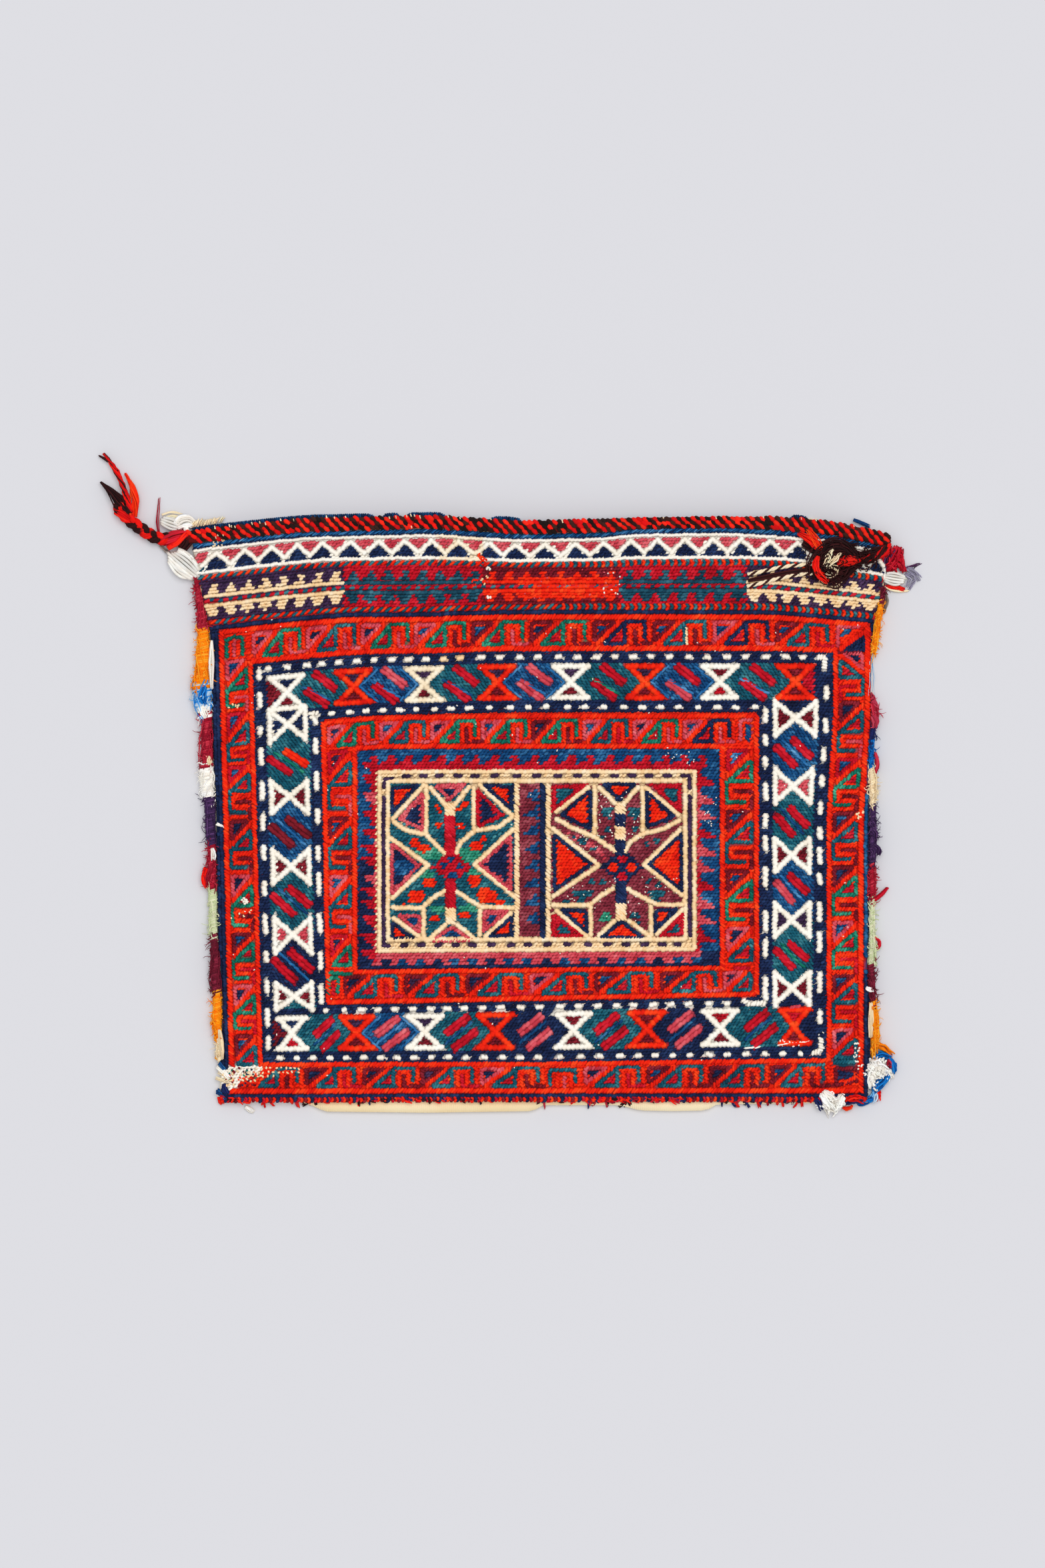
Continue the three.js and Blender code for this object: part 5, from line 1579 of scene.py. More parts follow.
def cottonMaterial():
    finish = finishes["cotton"]
    material, nodes, links, shader = startMaterial("cream cotton", finish)
    threads = addTexture(nodes, links, "ShaderNodeTexWave", Scale=finish["thread"],
                         Distortion=finish["wander"])
    age = addTexture(nodes, links, "ShaderNodeTexNoise", Scale=finish["age"], Detail=5)
    ramp = addRamp(nodes, links, shader, finish["stops"], (backCloth["stripe"], backCloth["colour"]))
    links.new(age.outputs["Fac"], ramp.inputs["Fac"])
    addRelief(nodes, links, shader, threads, finish["relief"])
    return material


back = backSheet()
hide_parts("back_panel")
backBinding = {
    "from": 288, "to": 1302, "steps": 140, "middle": 0.0018, "half": 0.001, "high": 0.001, "yarn": 0.0006,
    "pitch": 0.0012, "slant": 0.0014, "arc": (-80, 250),
    "looseEnd": strand("blue", 9, (4, 6, 3), (1281, 780, 3.2), (1292, 784, 3), (1304, 791, 2.4),
                       yarn=0.0005),
}


def backEdge():
    kit = backBinding
    x = np.linspace(kit["from"], kit["to"], kit["steps"])
    laidX, laidY = lay(x, np.full(kit["steps"], chart["mouth"]))
    worldX, worldY = onGround(laidX, laidY - backReach(x))
    line = np.stack((worldX, worldY, np.full(kit["steps"], kit["middle"])), 1)
    run = np.gradient(line, axis=0)
    outward = np.stack((-run[:, 1], run[:, 0], 0 * x), 1)
    outward /= np.linalg.norm(outward, axis=1, keepdims=True)
    half = np.full(kit["steps"], kit["half"])
    return wrappedEdge("back_mouth_overcasting", line, outward, half, kit, 1,
                       lambda share: tinted(edgeTones["deepBlue"], len(share)), rings=6)


backMouth = backEdge()
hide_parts("back_mouth_binding")
print("back cloth and its edge")


# Cords: plied runs of yarn round a route
def alongRoute(points, count):
    points = np.asarray(points, float)
    along = np.concatenate(([0], np.cumsum(np.linalg.norm(np.diff(points, axis=0), axis=1))))
    at = np.linspace(0, along[-1], count)
    return np.stack([np.interp(at, along, points[:, axis]) for axis in range(3)], 1), along[-1]


def smoothed(points, count):  # a round curve through given points
    points, _ = alongRoute(points, count)
    for _ in range(max(2, count // 14)):
        points[1:-1] = (points[:-2] + 2 * points[1:-1] + points[2:]) / 4
    return points


def pliedCord(name, route, count, orbit, yarn, twist, colours, sides=7):
    route = smoothed(route, count)
    _, length = alongRoute(route, 2)
    _, across, upward = framesAlong(route)
    spin = np.linspace(0, length / twist * 2 * math.pi, count)
    runs = []
    for ply in range(len(colours)):
        angle = spin + ply * 2 * math.pi / len(colours)
        runs.append(route + orbit * (across * np.cos(angle)[:, None] + upward * np.sin(angle)[:, None]))
    piece = yarnRuns(name, np.array(runs), yarn, np.array([linear(*c) for c in colours]), sides=sides)
    return piece, route, length


def seat(x, y):  # height of the stitched front
    return frontTop(x, y) + stitch["thickness"] / 2


def puffPaths(run, rings):  # short curls every way about a place
    x, y, high = run["puff"]
    wide = run["wide"] * chart["unit"]
    height = high / 1000 + (seat(x, y) if run.get("onFront") else 0)
    stray = chance.normal(0, 0.5, (run["count"], 3)) * np.array((wide, wide, looseYarn["puffHigh"]))
    start = np.array((*onGround(x, y), height)) + stray
    curl = run.get("curl", looseYarn["puffLong"])
    return loosePaths(start, looseYarn["puffUp"], looseYarn["puffBend"], curl, rings=rings)


def linePaths(run, rings, radii):  # strands that lie along a line, and stray from it
    count, share = run["count"], np.linspace(0, 1, rings)
    x, y, height = np.array(run["line"], float).T
    height = height / 1000 + (seat(x, y) if run.get("onFront") else 0)
    route = smoothed(np.stack((*onGround(x, y), height), 1), rings)
    heading, across, _ = framesAlong(route)
    wide = np.interp(share, np.linspace(0, 1, len(run["wide"])), run["wide"]) * chart["unit"] / 2
    turn = chance.uniform(0, 2 * math.pi, (count, 1)) + run.get("twist", 0) * 2 * math.pi * share
    reach = np.sqrt(chance.uniform(0, 1, (count, 1))) * wide
    sway = np.cumsum(chance.normal(0, run.get("sway", looseYarn["sway"]), (count, rings, 3)), axis=1)
    paths = route[None] + across[None] * (reach * np.cos(turn))[:, :, None] + sway
    paths += chance.normal(0, run.get("slide", 0), (count, 1, 1)) * heading
    paths[:, :, 2] += reach * np.sin(turn) * run.get("thick", looseYarn["thick"])
    paths[:, :, 2] = np.maximum(paths[:, :, 2], radii * looseYarn["floorGap"])
    return paths


def strandPaths(run, rings):
    count = run["count"]
    radii = run.get("yarn", looseYarn["yarn"]) * valueAt(looseYarn["taper"], np.linspace(0, 1, rings))
    paths = puffPaths(run, rings) if "puff" in run else linePaths(run, rings, radii)
    return paths, np.broadcast_to(radii, (count, rings)), tinted(edgeTones[run["dye"]], count)


def strandPiece(name, runs, rings=10):
    paths, radii, colours = zip(*(strandPaths(run, rings) for run in runs))
    return yarnRuns(name, np.concatenate(paths), np.concatenate(radii), np.concatenate(colours), sides=4)


leftEdgePieces = sideBinding("left", -1)
rightEdgePieces = sideBinding("right", 1)
backLoose = strandPiece("back_mouth_loose_end", [backBinding["looseEnd"]])
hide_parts("left_edge_binding")
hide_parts("right_edge_binding")
print("edges wrapped")

leftTie = {
    "corner": (-0.2148, 0.1713, 0.00385), "diameter": 0.0075, "steps": 60, "aside": 0.0021, "above": 0.0012,
    "plait": 0.016, "yarn": 0.00105, "plies": 5, "plyOrbit": 0.0011, "plyTurns": 4.5,
    "plyShade": (0.75, 1.1), "red": (236, 20, 10), "brown": (46, 16, 16), "swapEvery": 7,
    "route": ((0.3, 0), (4, -0.4), (8, -0.9), (12, -1.4), (16, -1.9), (20, -1.6), (24, 0.2), (28, 2.8),
              (32, 5.6), (36, 8.6), (39.5, 12), (42.6, 15.8), (44.6, 19.4)),
    "tassel": (
        strand("brown", 18, (14, 22, 11, 2), (192, 768, 4.5), (181, 755, 5), (168, 738, 4.5),
               (152, 724, 2.5)),
        strand("braid", 14, (9, 8, 7, 6, 2), (196, 770, 5), (191, 745, 5.5), (181, 718, 5),
               (170, 698, 4), (156, 681, 2.5), twist=2.0, yarn=0.0007),
        strand("brown", 4, (4, 4, 1), (166, 695, 3.5), (158, 689, 3), (149, 684, 2)),
        strand("flame", 13, (12, 14, 9, 2), (200, 775, 4.5), (204, 752, 5), (199, 730, 4.5),
               (188, 711, 2.5), twist=0.5),
        strand("red", 9, (9, 11, 9), (174, 767, 4), (185, 773, 8), (198, 783, 5), yarn=0.0009)),
    "root": (
        strand("tuftRed", 12, (14, 22, 14), (244, 813, 4), (262, 806, 6.5), (281, 802, 5.5), yarn=0.0009),
        strand("red", 6, (7, 8, 6), (252, 822, 4.5), (266, 814, 7), (278, 801, 6), yarn=0.001),
        strand("brown", 12, (12, 14, 10), (273, 824, 3), (282, 813, 5), (286, 800, 4), yarn=0.0008),
        strand("crimson", 3, (4, 3, 2), (239, 800, 3), (236, 782, 2.5), (238, 766, 1.6),
               (239, 748, 0.5), yarn=0.0003),
        # thin grey-brown strands lying low on the floor beside the root
        strand("greyBrown", 6, (5, 7, 5), (240, 819, 2), (249, 828, 1.5), (259, 834, 1.5), yarn=0.0004)),
}


def plaitedPaths(route, kit):  # three strands that cross over each other in turn
    _, length = alongRoute(route, 2)
    _, across, _ = framesAlong(route)
    phase = np.linspace(0, length / kit["plait"] * 2 * math.pi, len(route))
    runs = []
    for turn in (phase + start * 2 * math.pi / 3 for start in range(3)):
        runs.append(route + across * (kit["aside"] * np.sin(turn))[:, None]
                    + np.array((0, 0, 1)) * (kit["above"] * np.sin(2 * turn))[:, None])
    return np.array(runs), length


def pliesOf(paths, orbit, count, turns):  # every run split into thinner ones that wind round it
    _, across, upward = framesAlong(paths)
    spin = np.linspace(0, 2 * math.pi * turns, paths.shape[1])[None, :, None]
    plies = []
    for ply in range(count):
        angle = spin + 2 * math.pi * ply / count
        plies.append(paths + orbit * (across * np.cos(angle) + upward * np.sin(angle)))
    return np.stack(plies, 1).reshape(-1, *paths.shape[1:])


def woolly(runs, finer=0.66, more=1.9, sway=0.0003):  # the same runs in other strands, less combed
    return [{"sway": sway, **run, "count": int(run["count"] * more),
             "yarn": run.get("yarn", looseYarn["yarn"]) * finer} for run in runs]


def leftTieCord():
    cornerX, cornerY, height = leftTie["corner"]
    steps, count = leftTie["steps"], leftTie["plies"]
    points = [(cornerX - out / 1000, cornerY + up / 1000, height) for out, up in leftTie["route"]]
    route = smoothed(points, steps)
    paths, length = plaitedPaths(route, leftTie)
    red, brown = np.array(linear(*leftTie["red"])), np.array(linear(*leftTie["brown"]))
    mixed = np.where((np.arange(steps) // leftTie["swapEvery"] % 2)[:, None] == 0, red, brown)
    colours = np.stack((np.tile(red, (steps, 1)), np.tile(brown, (steps, 1)), mixed))
    plies = pliesOf(paths, leftTie["plyOrbit"], count, leftTie["plyTurns"])
    tints = np.repeat(colours, count, 0)
    tints[:, :, :3] *= chance.uniform(*leftTie["plyShade"], (3 * count, 1, 1))
    cord = yarnRuns("left_tie_braid", plies, leftTie["yarn"], np.clip(tints, 0, 1), sides=6)
    tasselRuns = woolly(leftTie["tassel"], finer=0.75, more=1.7, sway=0.00009)
    tassel = strandPiece("left_tie_tassel_strands", tasselRuns)
    root = strandPiece("left_tie_root_wrapping", leftTie["root"])
    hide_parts("left_tie_cord")
    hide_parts("left_tie_tassel")
    return [cord, tassel, root]


coilShape = {"steps": 20, "ends": 0.58, "least": 0.1, "uneven": 0.1, "pinch": 0.35, "flatten": 0.5,
             "clear": 0.0001, "spread": 0.05, "shade": (0.74, 1)}


def coilPath(middleX, middleY, height, heading, half, wide, high, turns, yarn):
    # a laced yarn wound in long flat turns that lie side by side and draw together at their ends
    t = np.linspace(0, turns, turns * coilShape["steps"] + 1)
    aside = (t / turns - 0.5) * wide
    reach = half * np.sqrt(np.clip(1 - (aside / (wide * coilShape["ends"])) ** 2, coilShape["least"], 1))
    reach = reach * (1 + coilShape["uneven"] * np.sin(t * 2.1 + 0.5))
    swing = np.cos(2 * math.pi * t)
    longWay = np.array((math.cos(heading), math.sin(heading)))
    sideWay = np.array((-longWay[1], longWay[0]))
    aside = aside * (1 - coilShape["pinch"] * swing ** 2)
    flat = longWay * (reach * swing)[:, None] + sideWay * aside[:, None]
    worldX, worldY = onGround(middleX, middleY)
    crown = 1 - coilShape["flatten"] * (2 * t / turns - 1) ** 2
    z = np.maximum(height / 1000 + high * crown * np.sin(2 * math.pi * t), yarn + coilShape["clear"])
    return np.stack((worldX + flat[:, 0], worldY + flat[:, 1], z), 1)


def lacing(name, node, coil, strays):
    path = coilPath(**coil)
    tones = tinted(edgeTones["white"], len(path), coilShape["spread"])
    shades = chance.uniform(*coilShape["shade"], 2 * coil["turns"] + 1)  # each half turn is lit or shaded
    tones[:, :3] *= np.repeat(shades, coilShape["steps"] // 2)[:len(path), None]
    piece = yarnRuns(name, path[None], coil["yarn"], tones[None], sides=7)
    loose = strandPiece(f"{name}_strays", strays)
    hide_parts(node)
    return [piece, loose]


cornerLacings = {
    "upper": {"middleX": 258, "middleY": 786, "height": 3.2, "heading": -0.3, "half": 0.0072,
              "wide": 0.0075, "high": 0.0016, "turns": 4, "yarn": 0.00085},
    "upperStrays": (
        strand("white", 7, (8, 10, 9, 7), (264, 789, 4), (272, 780, 5), (284, 777, 4), (291, 785, 3),
               yarn=0.0008),
        strand("white", 6, (6, 9, 7), (268, 793, 4), (278, 788, 5), (289, 790, 4), yarn=0.0008),
        strand("white", 5, (8, 8, 7), (281, 790, 5), (283, 800, 5.5), (284, 809, 4), yarn=0.0008),
        strand("cream", 8, (10, 9, 9), (245, 776, 2), (258, 771, 2.5), (272, 774, 2.5), yarn=0.0004),
        # a row of pale threads
        *(strand("cream", 2, (2, 3, 2), (x, 844 - 0.18 * x, 3.2), (x + 2, 836 - 0.17 * x, 4.4),
                 (x + 5, 810 - 0.1 * x, 3.2), yarn=0.0004) for x in range(287, 334, 3))),
    "lower": {"middleX": 276, "middleY": 849, "height": 3.6, "heading": -0.68, "half": 0.0116,
              "wide": 0.0142, "high": 0.0024, "turns": 7, "yarn": 0.00088},
    "lowerStrays": (
        strand("white", 4, (5, 8, 5), (268, 826, 4.5), (282, 834, 6.2), (296, 850, 5), yarn=0.0009),
        strand("white", 4, (6, 10, 6), (256, 842, 4), (272, 852, 6.4), (292, 868, 4), yarn=0.0009),
        strand("teal", 7, (8, 9, 6), (294, 872, 3), (299, 864, 4.5), (308, 855, 5.5), yarn=0.0005)),
    "right": {"middleX": 1341, "middleY": 868, "height": 3.0, "heading": -0.12, "half": 0.0070,
              "wide": 0.0088, "high": 0.0016, "turns": 5, "yarn": 0.00076},
    "rightStrays": (
        strand("red", 10, (4, 8, 3), (1328, 881, 2), (1342, 880, 2.5), (1357, 884, 1.6), yarn=0.0005),
        strand("cream", 5, (4, 4, 4, 3), (1321, 874, 3), (1334, 885, 2), (1350, 888, 1.5),
               (1363, 886, 0.8), yarn=0.0005),
        strand("white", 5, (5, 6, 6), (1322, 846, 4), (1325, 856, 4), (1322, 868, 4), yarn=0.0006),
        # thin grey-brown strands lying low on the floor below the corner
        strand("greyBrown", 18, (13, 14, 3), (1326, 887, 1.6), (1330, 902, 1), (1326, 920, 0.5), yarn=0.00035)),
}

leftTiePieces = leftTieCord()
lacings = []
for side, node in (("upper", "left_corner_lacing_upper"), ("lower", "left_corner_lacing_lower"),
                   ("right", "right_corner_lacing")):
    lacings += lacing(f"{side}_corner_lacing_yarn", node, cornerLacings[side],
                      cornerLacings[f"{side}Strays"])
print("left tie and lacings")

rightTie = {
    "diameter": 0.0044, "tailDiameter": 0.0026,
    "cord": {"count": 40, "orbit": 0.0009, "yarn": 0.0013, "twist": 0.024,
             "colours": ((52, 18, 18), (206, 14, 12), (44, 16, 16))},
    "tail": {"count": 60, "orbit": 0.00062, "yarn": 0.00072, "twist": 0.0085, "sides": 5,
             "colours": ((252, 234, 200), (250, 228, 192), (58, 26, 24))},
    "route": ((1331, 826), (1324, 832), (1318, 835), (1311, 838), (1303, 841), (1295, 842), (1286, 844),
              (1278, 845), (1270, 846), (1262, 847), (1254, 848), (1247, 849)),
    "tails": (((1224, 848), (1212, 848), (1200, 849), (1186, 850), (1172, 852), (1158, 855), (1145, 858),
               (1132, 861), (1121, 863)),
              ((1224, 861), (1212, 862), (1200, 863), (1186, 865), (1172, 868), (1158, 871), (1145, 875),
               (1132, 878), (1120, 881))),
    "knot": (
        puff("brown", 30, 20, (1233, 834, 3)),
        puff("brown", 30, 20, (1263, 830, 3)),
        puff("brown", 22, 13, (1250, 868, 3)),
        puff("brown", 16, 11, (1222, 856, 3.5)),
        puff("brown", 24, 13, (1281, 845, 3)),
        strand("brown", 22, (12, 15, 17, 17, 15, 9), (1286, 842, 1.5), (1279, 827, 2.5), (1256, 817, 3),
               (1233, 823, 3.5), (1220, 843, 3), (1222, 868, 2), yarn=0.0007, sway=0.0006),
        strand("brown", 18, (10, 13, 16, 12), (1284, 848, 1.5), (1268, 861, 2), (1250, 871, 2.5),
               (1236, 866, 3), yarn=0.0007, sway=0.0006),
        strand("brown", 14, (10, 14, 10), (1264, 848, 2.5), (1246, 840, 4), (1229, 842, 3.5),
               yarn=0.0007, sway=0.0006),
        strand("red", 12, (10, 17, 6), (1256, 847, 4.5), (1268, 842, 6), (1283, 842, 4), yarn=0.0008),
        strand("red", 9, (4, 9, 11, 6), (1226, 837, 5), (1221, 850, 6), (1228, 862, 5.5),
               (1240, 871, 3.5), yarn=0.0008),
        strand("red", 12, (14, 13, 8), (1230, 826, 3.5), (1216, 813, 3), (1199, 802, 1.6)),
        strand("flame", 9, (10, 10, 5), (1229, 823, 3.5), (1220, 809, 3), (1210, 797, 1.6)),
        strand("cream", 3, (3, 4, 4), (1248, 825, 4.5), (1242, 838, 6.5), (1236, 851, 5.5), yarn=0.0007),
        strand("cream", 3, (3, 5, 5), (1260, 832, 4.5), (1251, 842, 7), (1240, 852, 6), yarn=0.0007),
        strand("cream", 3, (2, 3, 2), (1240, 853, 5), (1249, 850, 5.5), (1257, 854, 5),
               (1256, 861, 4.5), (1247, 864, 4.5), (1239, 860, 4), yarn=0.0006),
        puff("brown", 8, 7, (1246, 858, 6)),
        puff("brown", 8, 7, (1262, 846, 6)),
        strand("brown", 14, (12, 12, 10, 6), (1203, 817, 1), (1222, 828, 1.5), (1244, 822, 2),
               (1284, 820, 0.8), yarn=0.0004, sway=0.0003)),
    "filling": (strand("brown", 9, (8, 10, 10, 8), (1224, 855, 1), (1200, 857, 1), (1160, 864, 1),
                       (1122, 872, 0.8), yarn=0.0007, onFront=True),),
    "hook": (puff("brown", 44, 16, (1304, 838, 3.5), yarn=0.0004, onFront=True),
             strand("red", 4, (4, 5, 5, 4), (1334, 817, 3), (1331, 829, 3), (1320, 837, 3),
                    (1303, 843, 2), yarn=0.0008, onFront=True),
             strand("brown", 16, (12, 17, 12), (1326, 826, 2.5), (1310, 832, 3), (1288, 838, 2.5),
                    yarn=0.0006, sway=0.0004, onFront=True),
             strand("braid", 7, (8, 10, 8), (1330, 822, 3.2), (1316, 834, 3.6), (1294, 841, 3),
                    twist=0.7, yarn=0.0008, onFront=True)),
}


def overFront(points, lift):  # chart places raised onto the stitched front
    x, y = np.array(points, float).T
    return np.stack((*onGround(x, y), seat(x, y) + lift), 1)


def rightTieCords():
    route = overFront(rightTie["route"], rightTie["diameter"] / 2)
    cord, path, length = pliedCord("right_tie_twist", route, **rightTie["cord"])
    knotRuns = [{**run, "onFront": True} for run in woolly(rightTie["knot"])]
    knot = strandPiece("right_tie_knot_strands", knotRuns)
    hook = strandPiece("right_tie_root_wrapping", rightTie["hook"])
    filling = strandPiece("right_tie_tail_filling", rightTie["filling"])
    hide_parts("right_tie_cord")
    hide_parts("right_tie_knot")
    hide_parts("right_tie_tail")
    pieces = [cord, knot, hook, filling]
    for index, points in enumerate(rightTie["tails"]):
        route = overFront(points, rightTie["tailDiameter"] / 2)
        tail, path, length = pliedCord(f"right_tie_tail_{index + 1}", route, **rightTie["tail"])
        pieces.append(tail)
    return pieces


rightTiePieces = rightTieCords()

tufts = {
    "right_corner_tuft": (
        puff("tuftRed", 40, 15, (1342, 838, 4.5)),
        strand("tuftRed", 46, (18, 28, 15), (1330, 855, 3), (1339, 839, 4.5), (1346, 823, 2.5)),
        strand("tuftRed", 24, (9, 11, 7), (1349, 832, 3), (1352, 846, 3.5), (1356, 857, 2.5)),
        strand("plum", 18, (8, 11, 9), (1327, 857, 3), (1330, 840, 4.5), (1335, 823, 3.2)),
        strand("plum", 6, (7, 6, 2), (1357, 858, 1.6), (1367, 853, 1.6), (1381, 847, 0.8), yarn=0.0003),
        strand("lilac", 12, (4, 12, 3), (1356, 850, 1.2), (1372, 858, 1.2), (1379, 868, 0.8),
               yarn=0.0003),
        strand("lilac", 14, (5, 14, 4), (1359, 862, 1), (1372, 868, 1), (1362, 882, 0.6), yarn=0.0003)),
    "foot_corner_tuft": (
        puff("white", 70, 13, (1311, 1602, 5), curl=(0.0015, 0.0035)),
        puff("white", 60, 12, (1320, 1605, 5.4), curl=(0.0015, 0.0035)),
        puff("white", 40, 11, (1310, 1618, 5), curl=(0.0015, 0.0035)),
        strand("white", 40, (12, 28, 8), (1302, 1596, 3), (1314, 1602, 5.5), (1329, 1606, 3)),
        strand("white", 24, (5, 14, 16), (1304, 1632, 3), (1306, 1616, 4.5), (1312, 1602, 5)),
        strand("white", 8, (5, 6, 3), (1330, 1604, 3), (1335, 1610, 2.5), (1335, 1618, 1.5)),
        strand("brightBlue", 16, (6, 9, 8), (1309, 1590, 3), (1320, 1582, 4), (1334, 1587, 3)),
        strand("brightBlue", 16, (6, 9, 5), (1332, 1588, 3), (1338, 1598, 3.2), (1339, 1608, 2)),
        strand("brightBlue", 26, (10, 14, 10), (1332, 1612, 3), (1322, 1624, 4.5), (1309, 1634, 3)),
        strand("paleBlue", 10, (6, 6, 6), (1312, 1630, 3), (1312, 1642, 2.6), (1308, 1650, 2.2)),
        strand("brightBlue", 14, (7, 9, 9), (1310, 1648, 2), (1300, 1652, 2.5), (1286, 1655, 2)),
        strand("red", 8, (5, 6, 4), (1317, 1637, 2.5), (1318, 1643, 2.4), (1318, 1649, 1.4)),
        strand("crimson", 6, (4, 5, 4), (1331, 1590, 4.5), (1332, 1597, 4.8), (1330, 1603, 4)),
        strand("orange", 9, (9, 6, 3), (1309, 1566, 3.5), (1325, 1570, 3.5), (1337, 1583, 2)),
        strand("orange", 10, (6, 9, 6), (1306, 1574, 4), (1309, 1579, 4), (1310, 1586, 3))),
    "foot_white_tuft": (
        puff("white", 50, 12, (1250, 1653, 5)),
        strand("white", 44, (12, 24, 12), (1234, 1639, 6.6), (1243, 1649, 6.6), (1255, 1662, 2.5)),
        strand("white", 24, (11, 13, 9), (1263, 1644, 6.6), (1259, 1652, 6), (1254, 1661, 2.5)),
        strand("white", 9, (8, 9, 6), (1236, 1655, 5), (1242, 1662, 2.5), (1246, 1669, 0.5), yarn=0.0003),
        strand("red", 8, (8, 9, 7), (1272, 1649, 6.4), (1282, 1644, 7), (1293, 1647, 6)),
        strand("flame", 8, (4, 6, 5), (1266, 1662, 3), (1272, 1662, 3.2), (1279, 1659, 3)),
        strand("navy", 7, (6, 6, 5), (1270, 1656, 4.5), (1280, 1652, 5), (1290, 1650, 4.5)),
        strand("navy", 9, (9, 8, 5), (1224, 1648, 6.2), (1230, 1655, 5), (1235, 1662, 2.5))),
}
tuftPieces = {}
for node, runs in tufts.items():
    runs = woolly(runs, finer=1.15, more=0.9, sway=0.00035)
    tuftPieces[node] = strandPiece(f"{node}_strands", runs, rings=8)
    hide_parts(node)
footFrays = {
    "corner": (
        strand("blue", 8, (5, 9, 7), (327, 1636, 3), (331, 1641, 4), (338, 1646, 4), sway=0.0004),
        strand("navy", 10, (4, 8, 8), (337, 1626, 5), (336, 1634, 5), (342, 1642, 5)),
        strand("white", 8, (5, 7, 6), (326, 1601, 3), (334, 1607, 4), (344, 1618, 6)),
        strand("cream", 7, (14, 14, 10), (326, 1613, 3), (334, 1616, 4.5), (344, 1620, 6), yarn=0.00035),
        strand("orange", 7, (5, 6, 4), (324, 1586, 3.5), (328, 1588, 4), (332, 1590, 4)),
        strand("blue", 9, (8, 9, 6), (330, 1594, 4), (334, 1598, 4.5), (338, 1604, 5)),
        strand("red", 7, (5, 6, 4), (330, 1646, 3.5), (331, 1651, 3), (333, 1657, 2)),
        strand("white", 16, (5, 8, 6), (369, 1660, 1.6), (375, 1664, 1.6), (381, 1667, 1), yarn=0.0004)),
    "places": ((400, 30), (455, 42), (545, 26), (718, 9), (811, 14), (859, 10), (897, 36), (946, 22),
               (1110, 70), (1180, 60)),
    "row": 1651, "dyes": ("red", "red", "crimson", "navy", "brown"), "spacing": 6, "frayLong": (3, 12),
    "frayLean": 4, "frayYarn": 0.00045,
    "twined": 210, "twinedSpan": (332, 1300), "twinedRow": 1650, "twinedLong": (2, 6),
    "twinedYarn": (0.0004, 0.0007),
}


def footFringe():  # short frayed ends under the foot's twined edge, and loose turns on it
    runs = list(footFrays["corner"])
    dyes, y = footFrays["dyes"], footFrays["row"]
    for middle, spread in footFrays["places"]:
        for _ in range(int(spread / footFrays["spacing"])):
            x = middle + chance.uniform(-0.5, 0.5) * spread
            down, lean = chance.uniform(*footFrays["frayLong"]), chance.normal(0, footFrays["frayLean"])
            dye = dyes[chance.integers(len(dyes))]
            runs.append(strand(dye, 3, (4, 4, 2), (x, y, 5), (x + lean * 0.4, y + down * 0.6, 3.2),
                               (x + lean, y + down, 1.6), yarn=footFrays["frayYarn"]))
    for x in np.sort(chance.uniform(*footFrays["twinedSpan"], footFrays["twined"])):
        dye = dyes[chance.integers(len(dyes))]
        along, down = chance.uniform(*footFrays["twinedLong"]), chance.normal(1.5, 1.8)
        y = footFrays["twinedRow"] + chance.normal(0, 1.2)
        runs.append(strand(dye, 2, (3, 5, 3), (x - along, y - 1.5, 5), (x, y, 5.2),
                           (x + along, y + down, 4.4), yarn=chance.uniform(*footFrays["twinedYarn"])))
    return strandPiece("foot_frayed_ends", runs, rings=6)


fringe = footFringe()
print("right tie, tufts and frays")

# Floor, light and camera
stage = {
    "floor": (217, 217, 222), "floorHalf": 6, "frameHigh": 2353, "frameWide": 1568, "distance": 4.0,
    "farthest": 50, "lightWay": (-0.12, -0.2, -1), "lightAngle": 50, "lightStrength": 1.55,
    "worldStrength": 0.58,
}


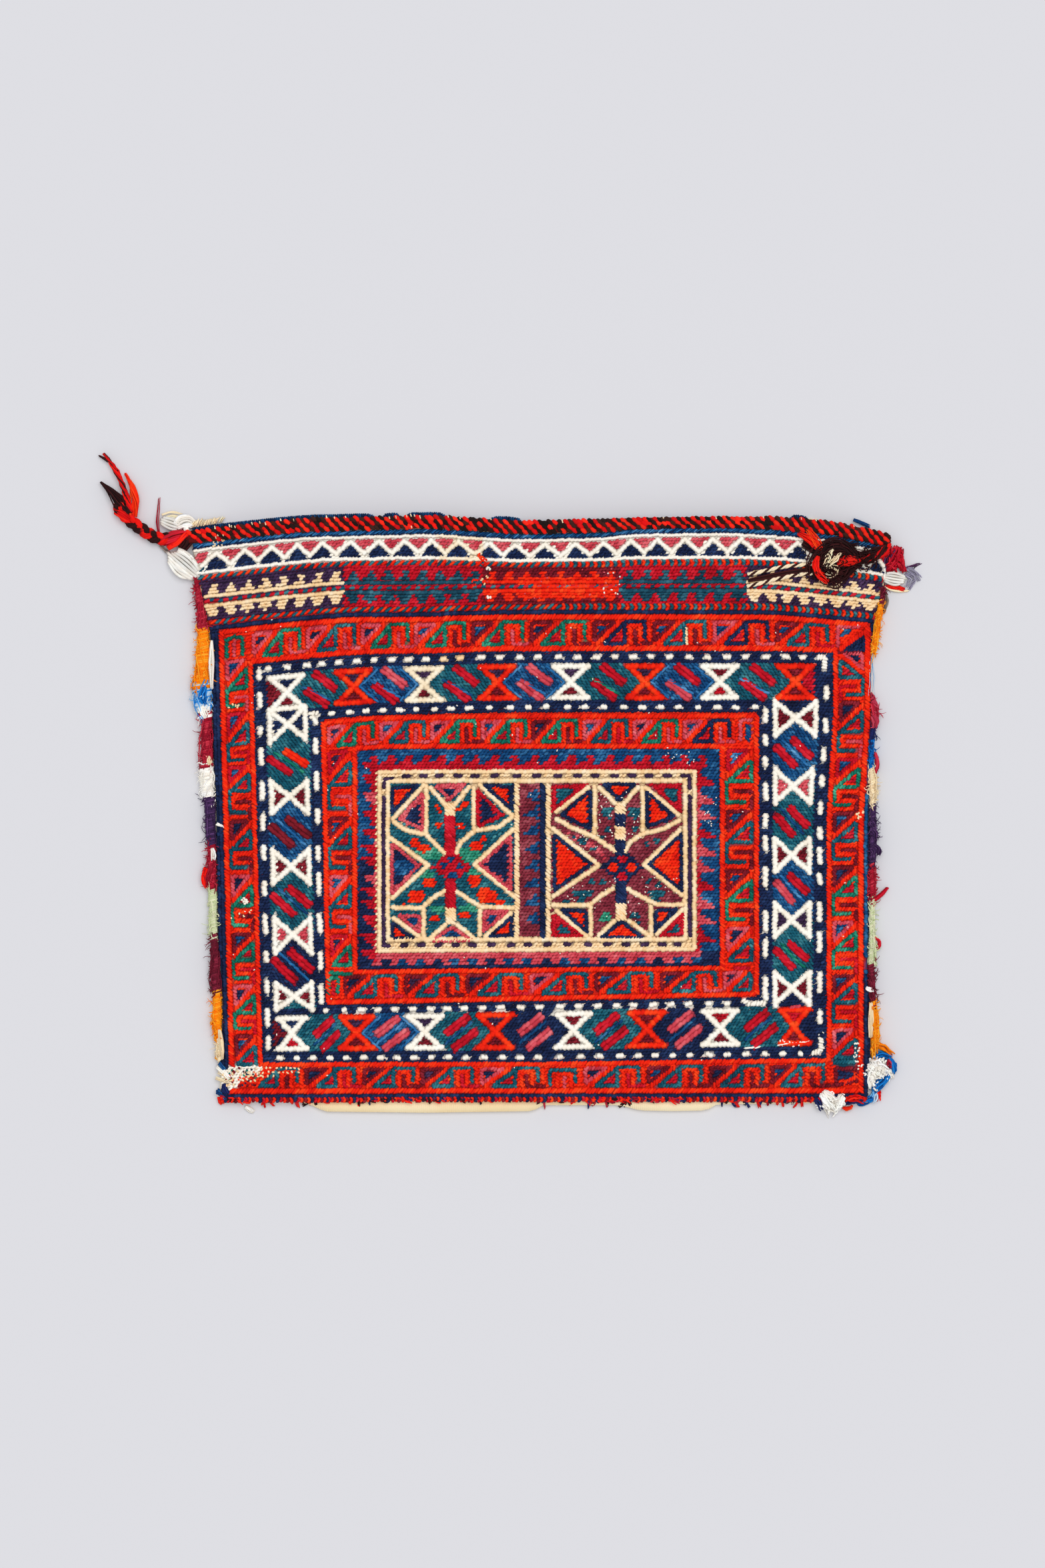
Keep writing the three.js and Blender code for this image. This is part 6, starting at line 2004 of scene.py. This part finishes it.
def plainFloor():
    mesh = bpy.data.meshes.new("floor")
    shape = bmesh.new()
    bmesh.ops.create_grid(shape, x_segments=1, y_segments=1, size=stage["floorHalf"])
    shape.to_mesh(mesh)
    shape.free()
    material, _, _, shader = startMaterial("pale floor", finishes["floor"])
    shader.inputs["Base Color"].default_value = linear(*stage["floor"])
    floor = newObject("floor", mesh, material)


def softLight():
    lamp = bpy.data.lights.new("key light", "SUN")
    lamp.angle = math.radians(stage["lightAngle"])
    lamp.energy = stage["lightStrength"]
    light = bpy.data.objects.new("key light", lamp)
    light.rotation_euler = Vector(stage["lightWay"]).to_track_quat("-Z", "Y").to_euler()
    bpy.context.scene.collection.objects.link(light)
    world = bpy.data.worlds.new("studio")
    bpy.context.scene.world = world
    world.use_nodes = True
    world.node_tree.nodes["Background"].inputs["Color"].default_value = (1, 1, 1, 1)
    world.node_tree.nodes["Background"].inputs["Strength"].default_value = stage["worldStrength"]


def setCamera():
    lens = bpy.data.cameras.new("camera")
    lens.angle = 2 * math.atan(stage["frameHigh"] * chart["unit"] / 2 / stage["distance"])
    lens.clip_end = stage["farthest"]
    camera = bpy.data.objects.new("camera", lens)
    camera.location = (*onGround(stage["frameWide"] / 2, stage["frameHigh"] / 2), stage["distance"])
    bpy.context.scene.collection.objects.link(camera)
    bpy.context.scene.camera = camera
    bpy.context.scene.view_settings.view_transform = "Standard"


plainFloor()
softLight()
setCamera()
slots = {
    "wool_weave": (*stitchPieces, ground, fringe), "cotton_cloth": (back,), "mouth_yarn": mouthPieces,
    "blue_yarn": (backMouth, backLoose), "left_binding_yarn": leftEdgePieces,
    "right_binding_yarn": rightEdgePieces, "braid_yarn": leftTiePieces, "dark_cord_yarn": rightTiePieces,
    "white_cotton": (*lacings, tuftPieces["foot_white_tuft"]),
    "crimson_yarn": (tuftPieces["right_corner_tuft"],),
    "blue_white_yarn": (tuftPieces["foot_corner_tuft"],),
}
for slotName, pieces in slots.items():
    for piece in pieces:
        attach(piece, "root")
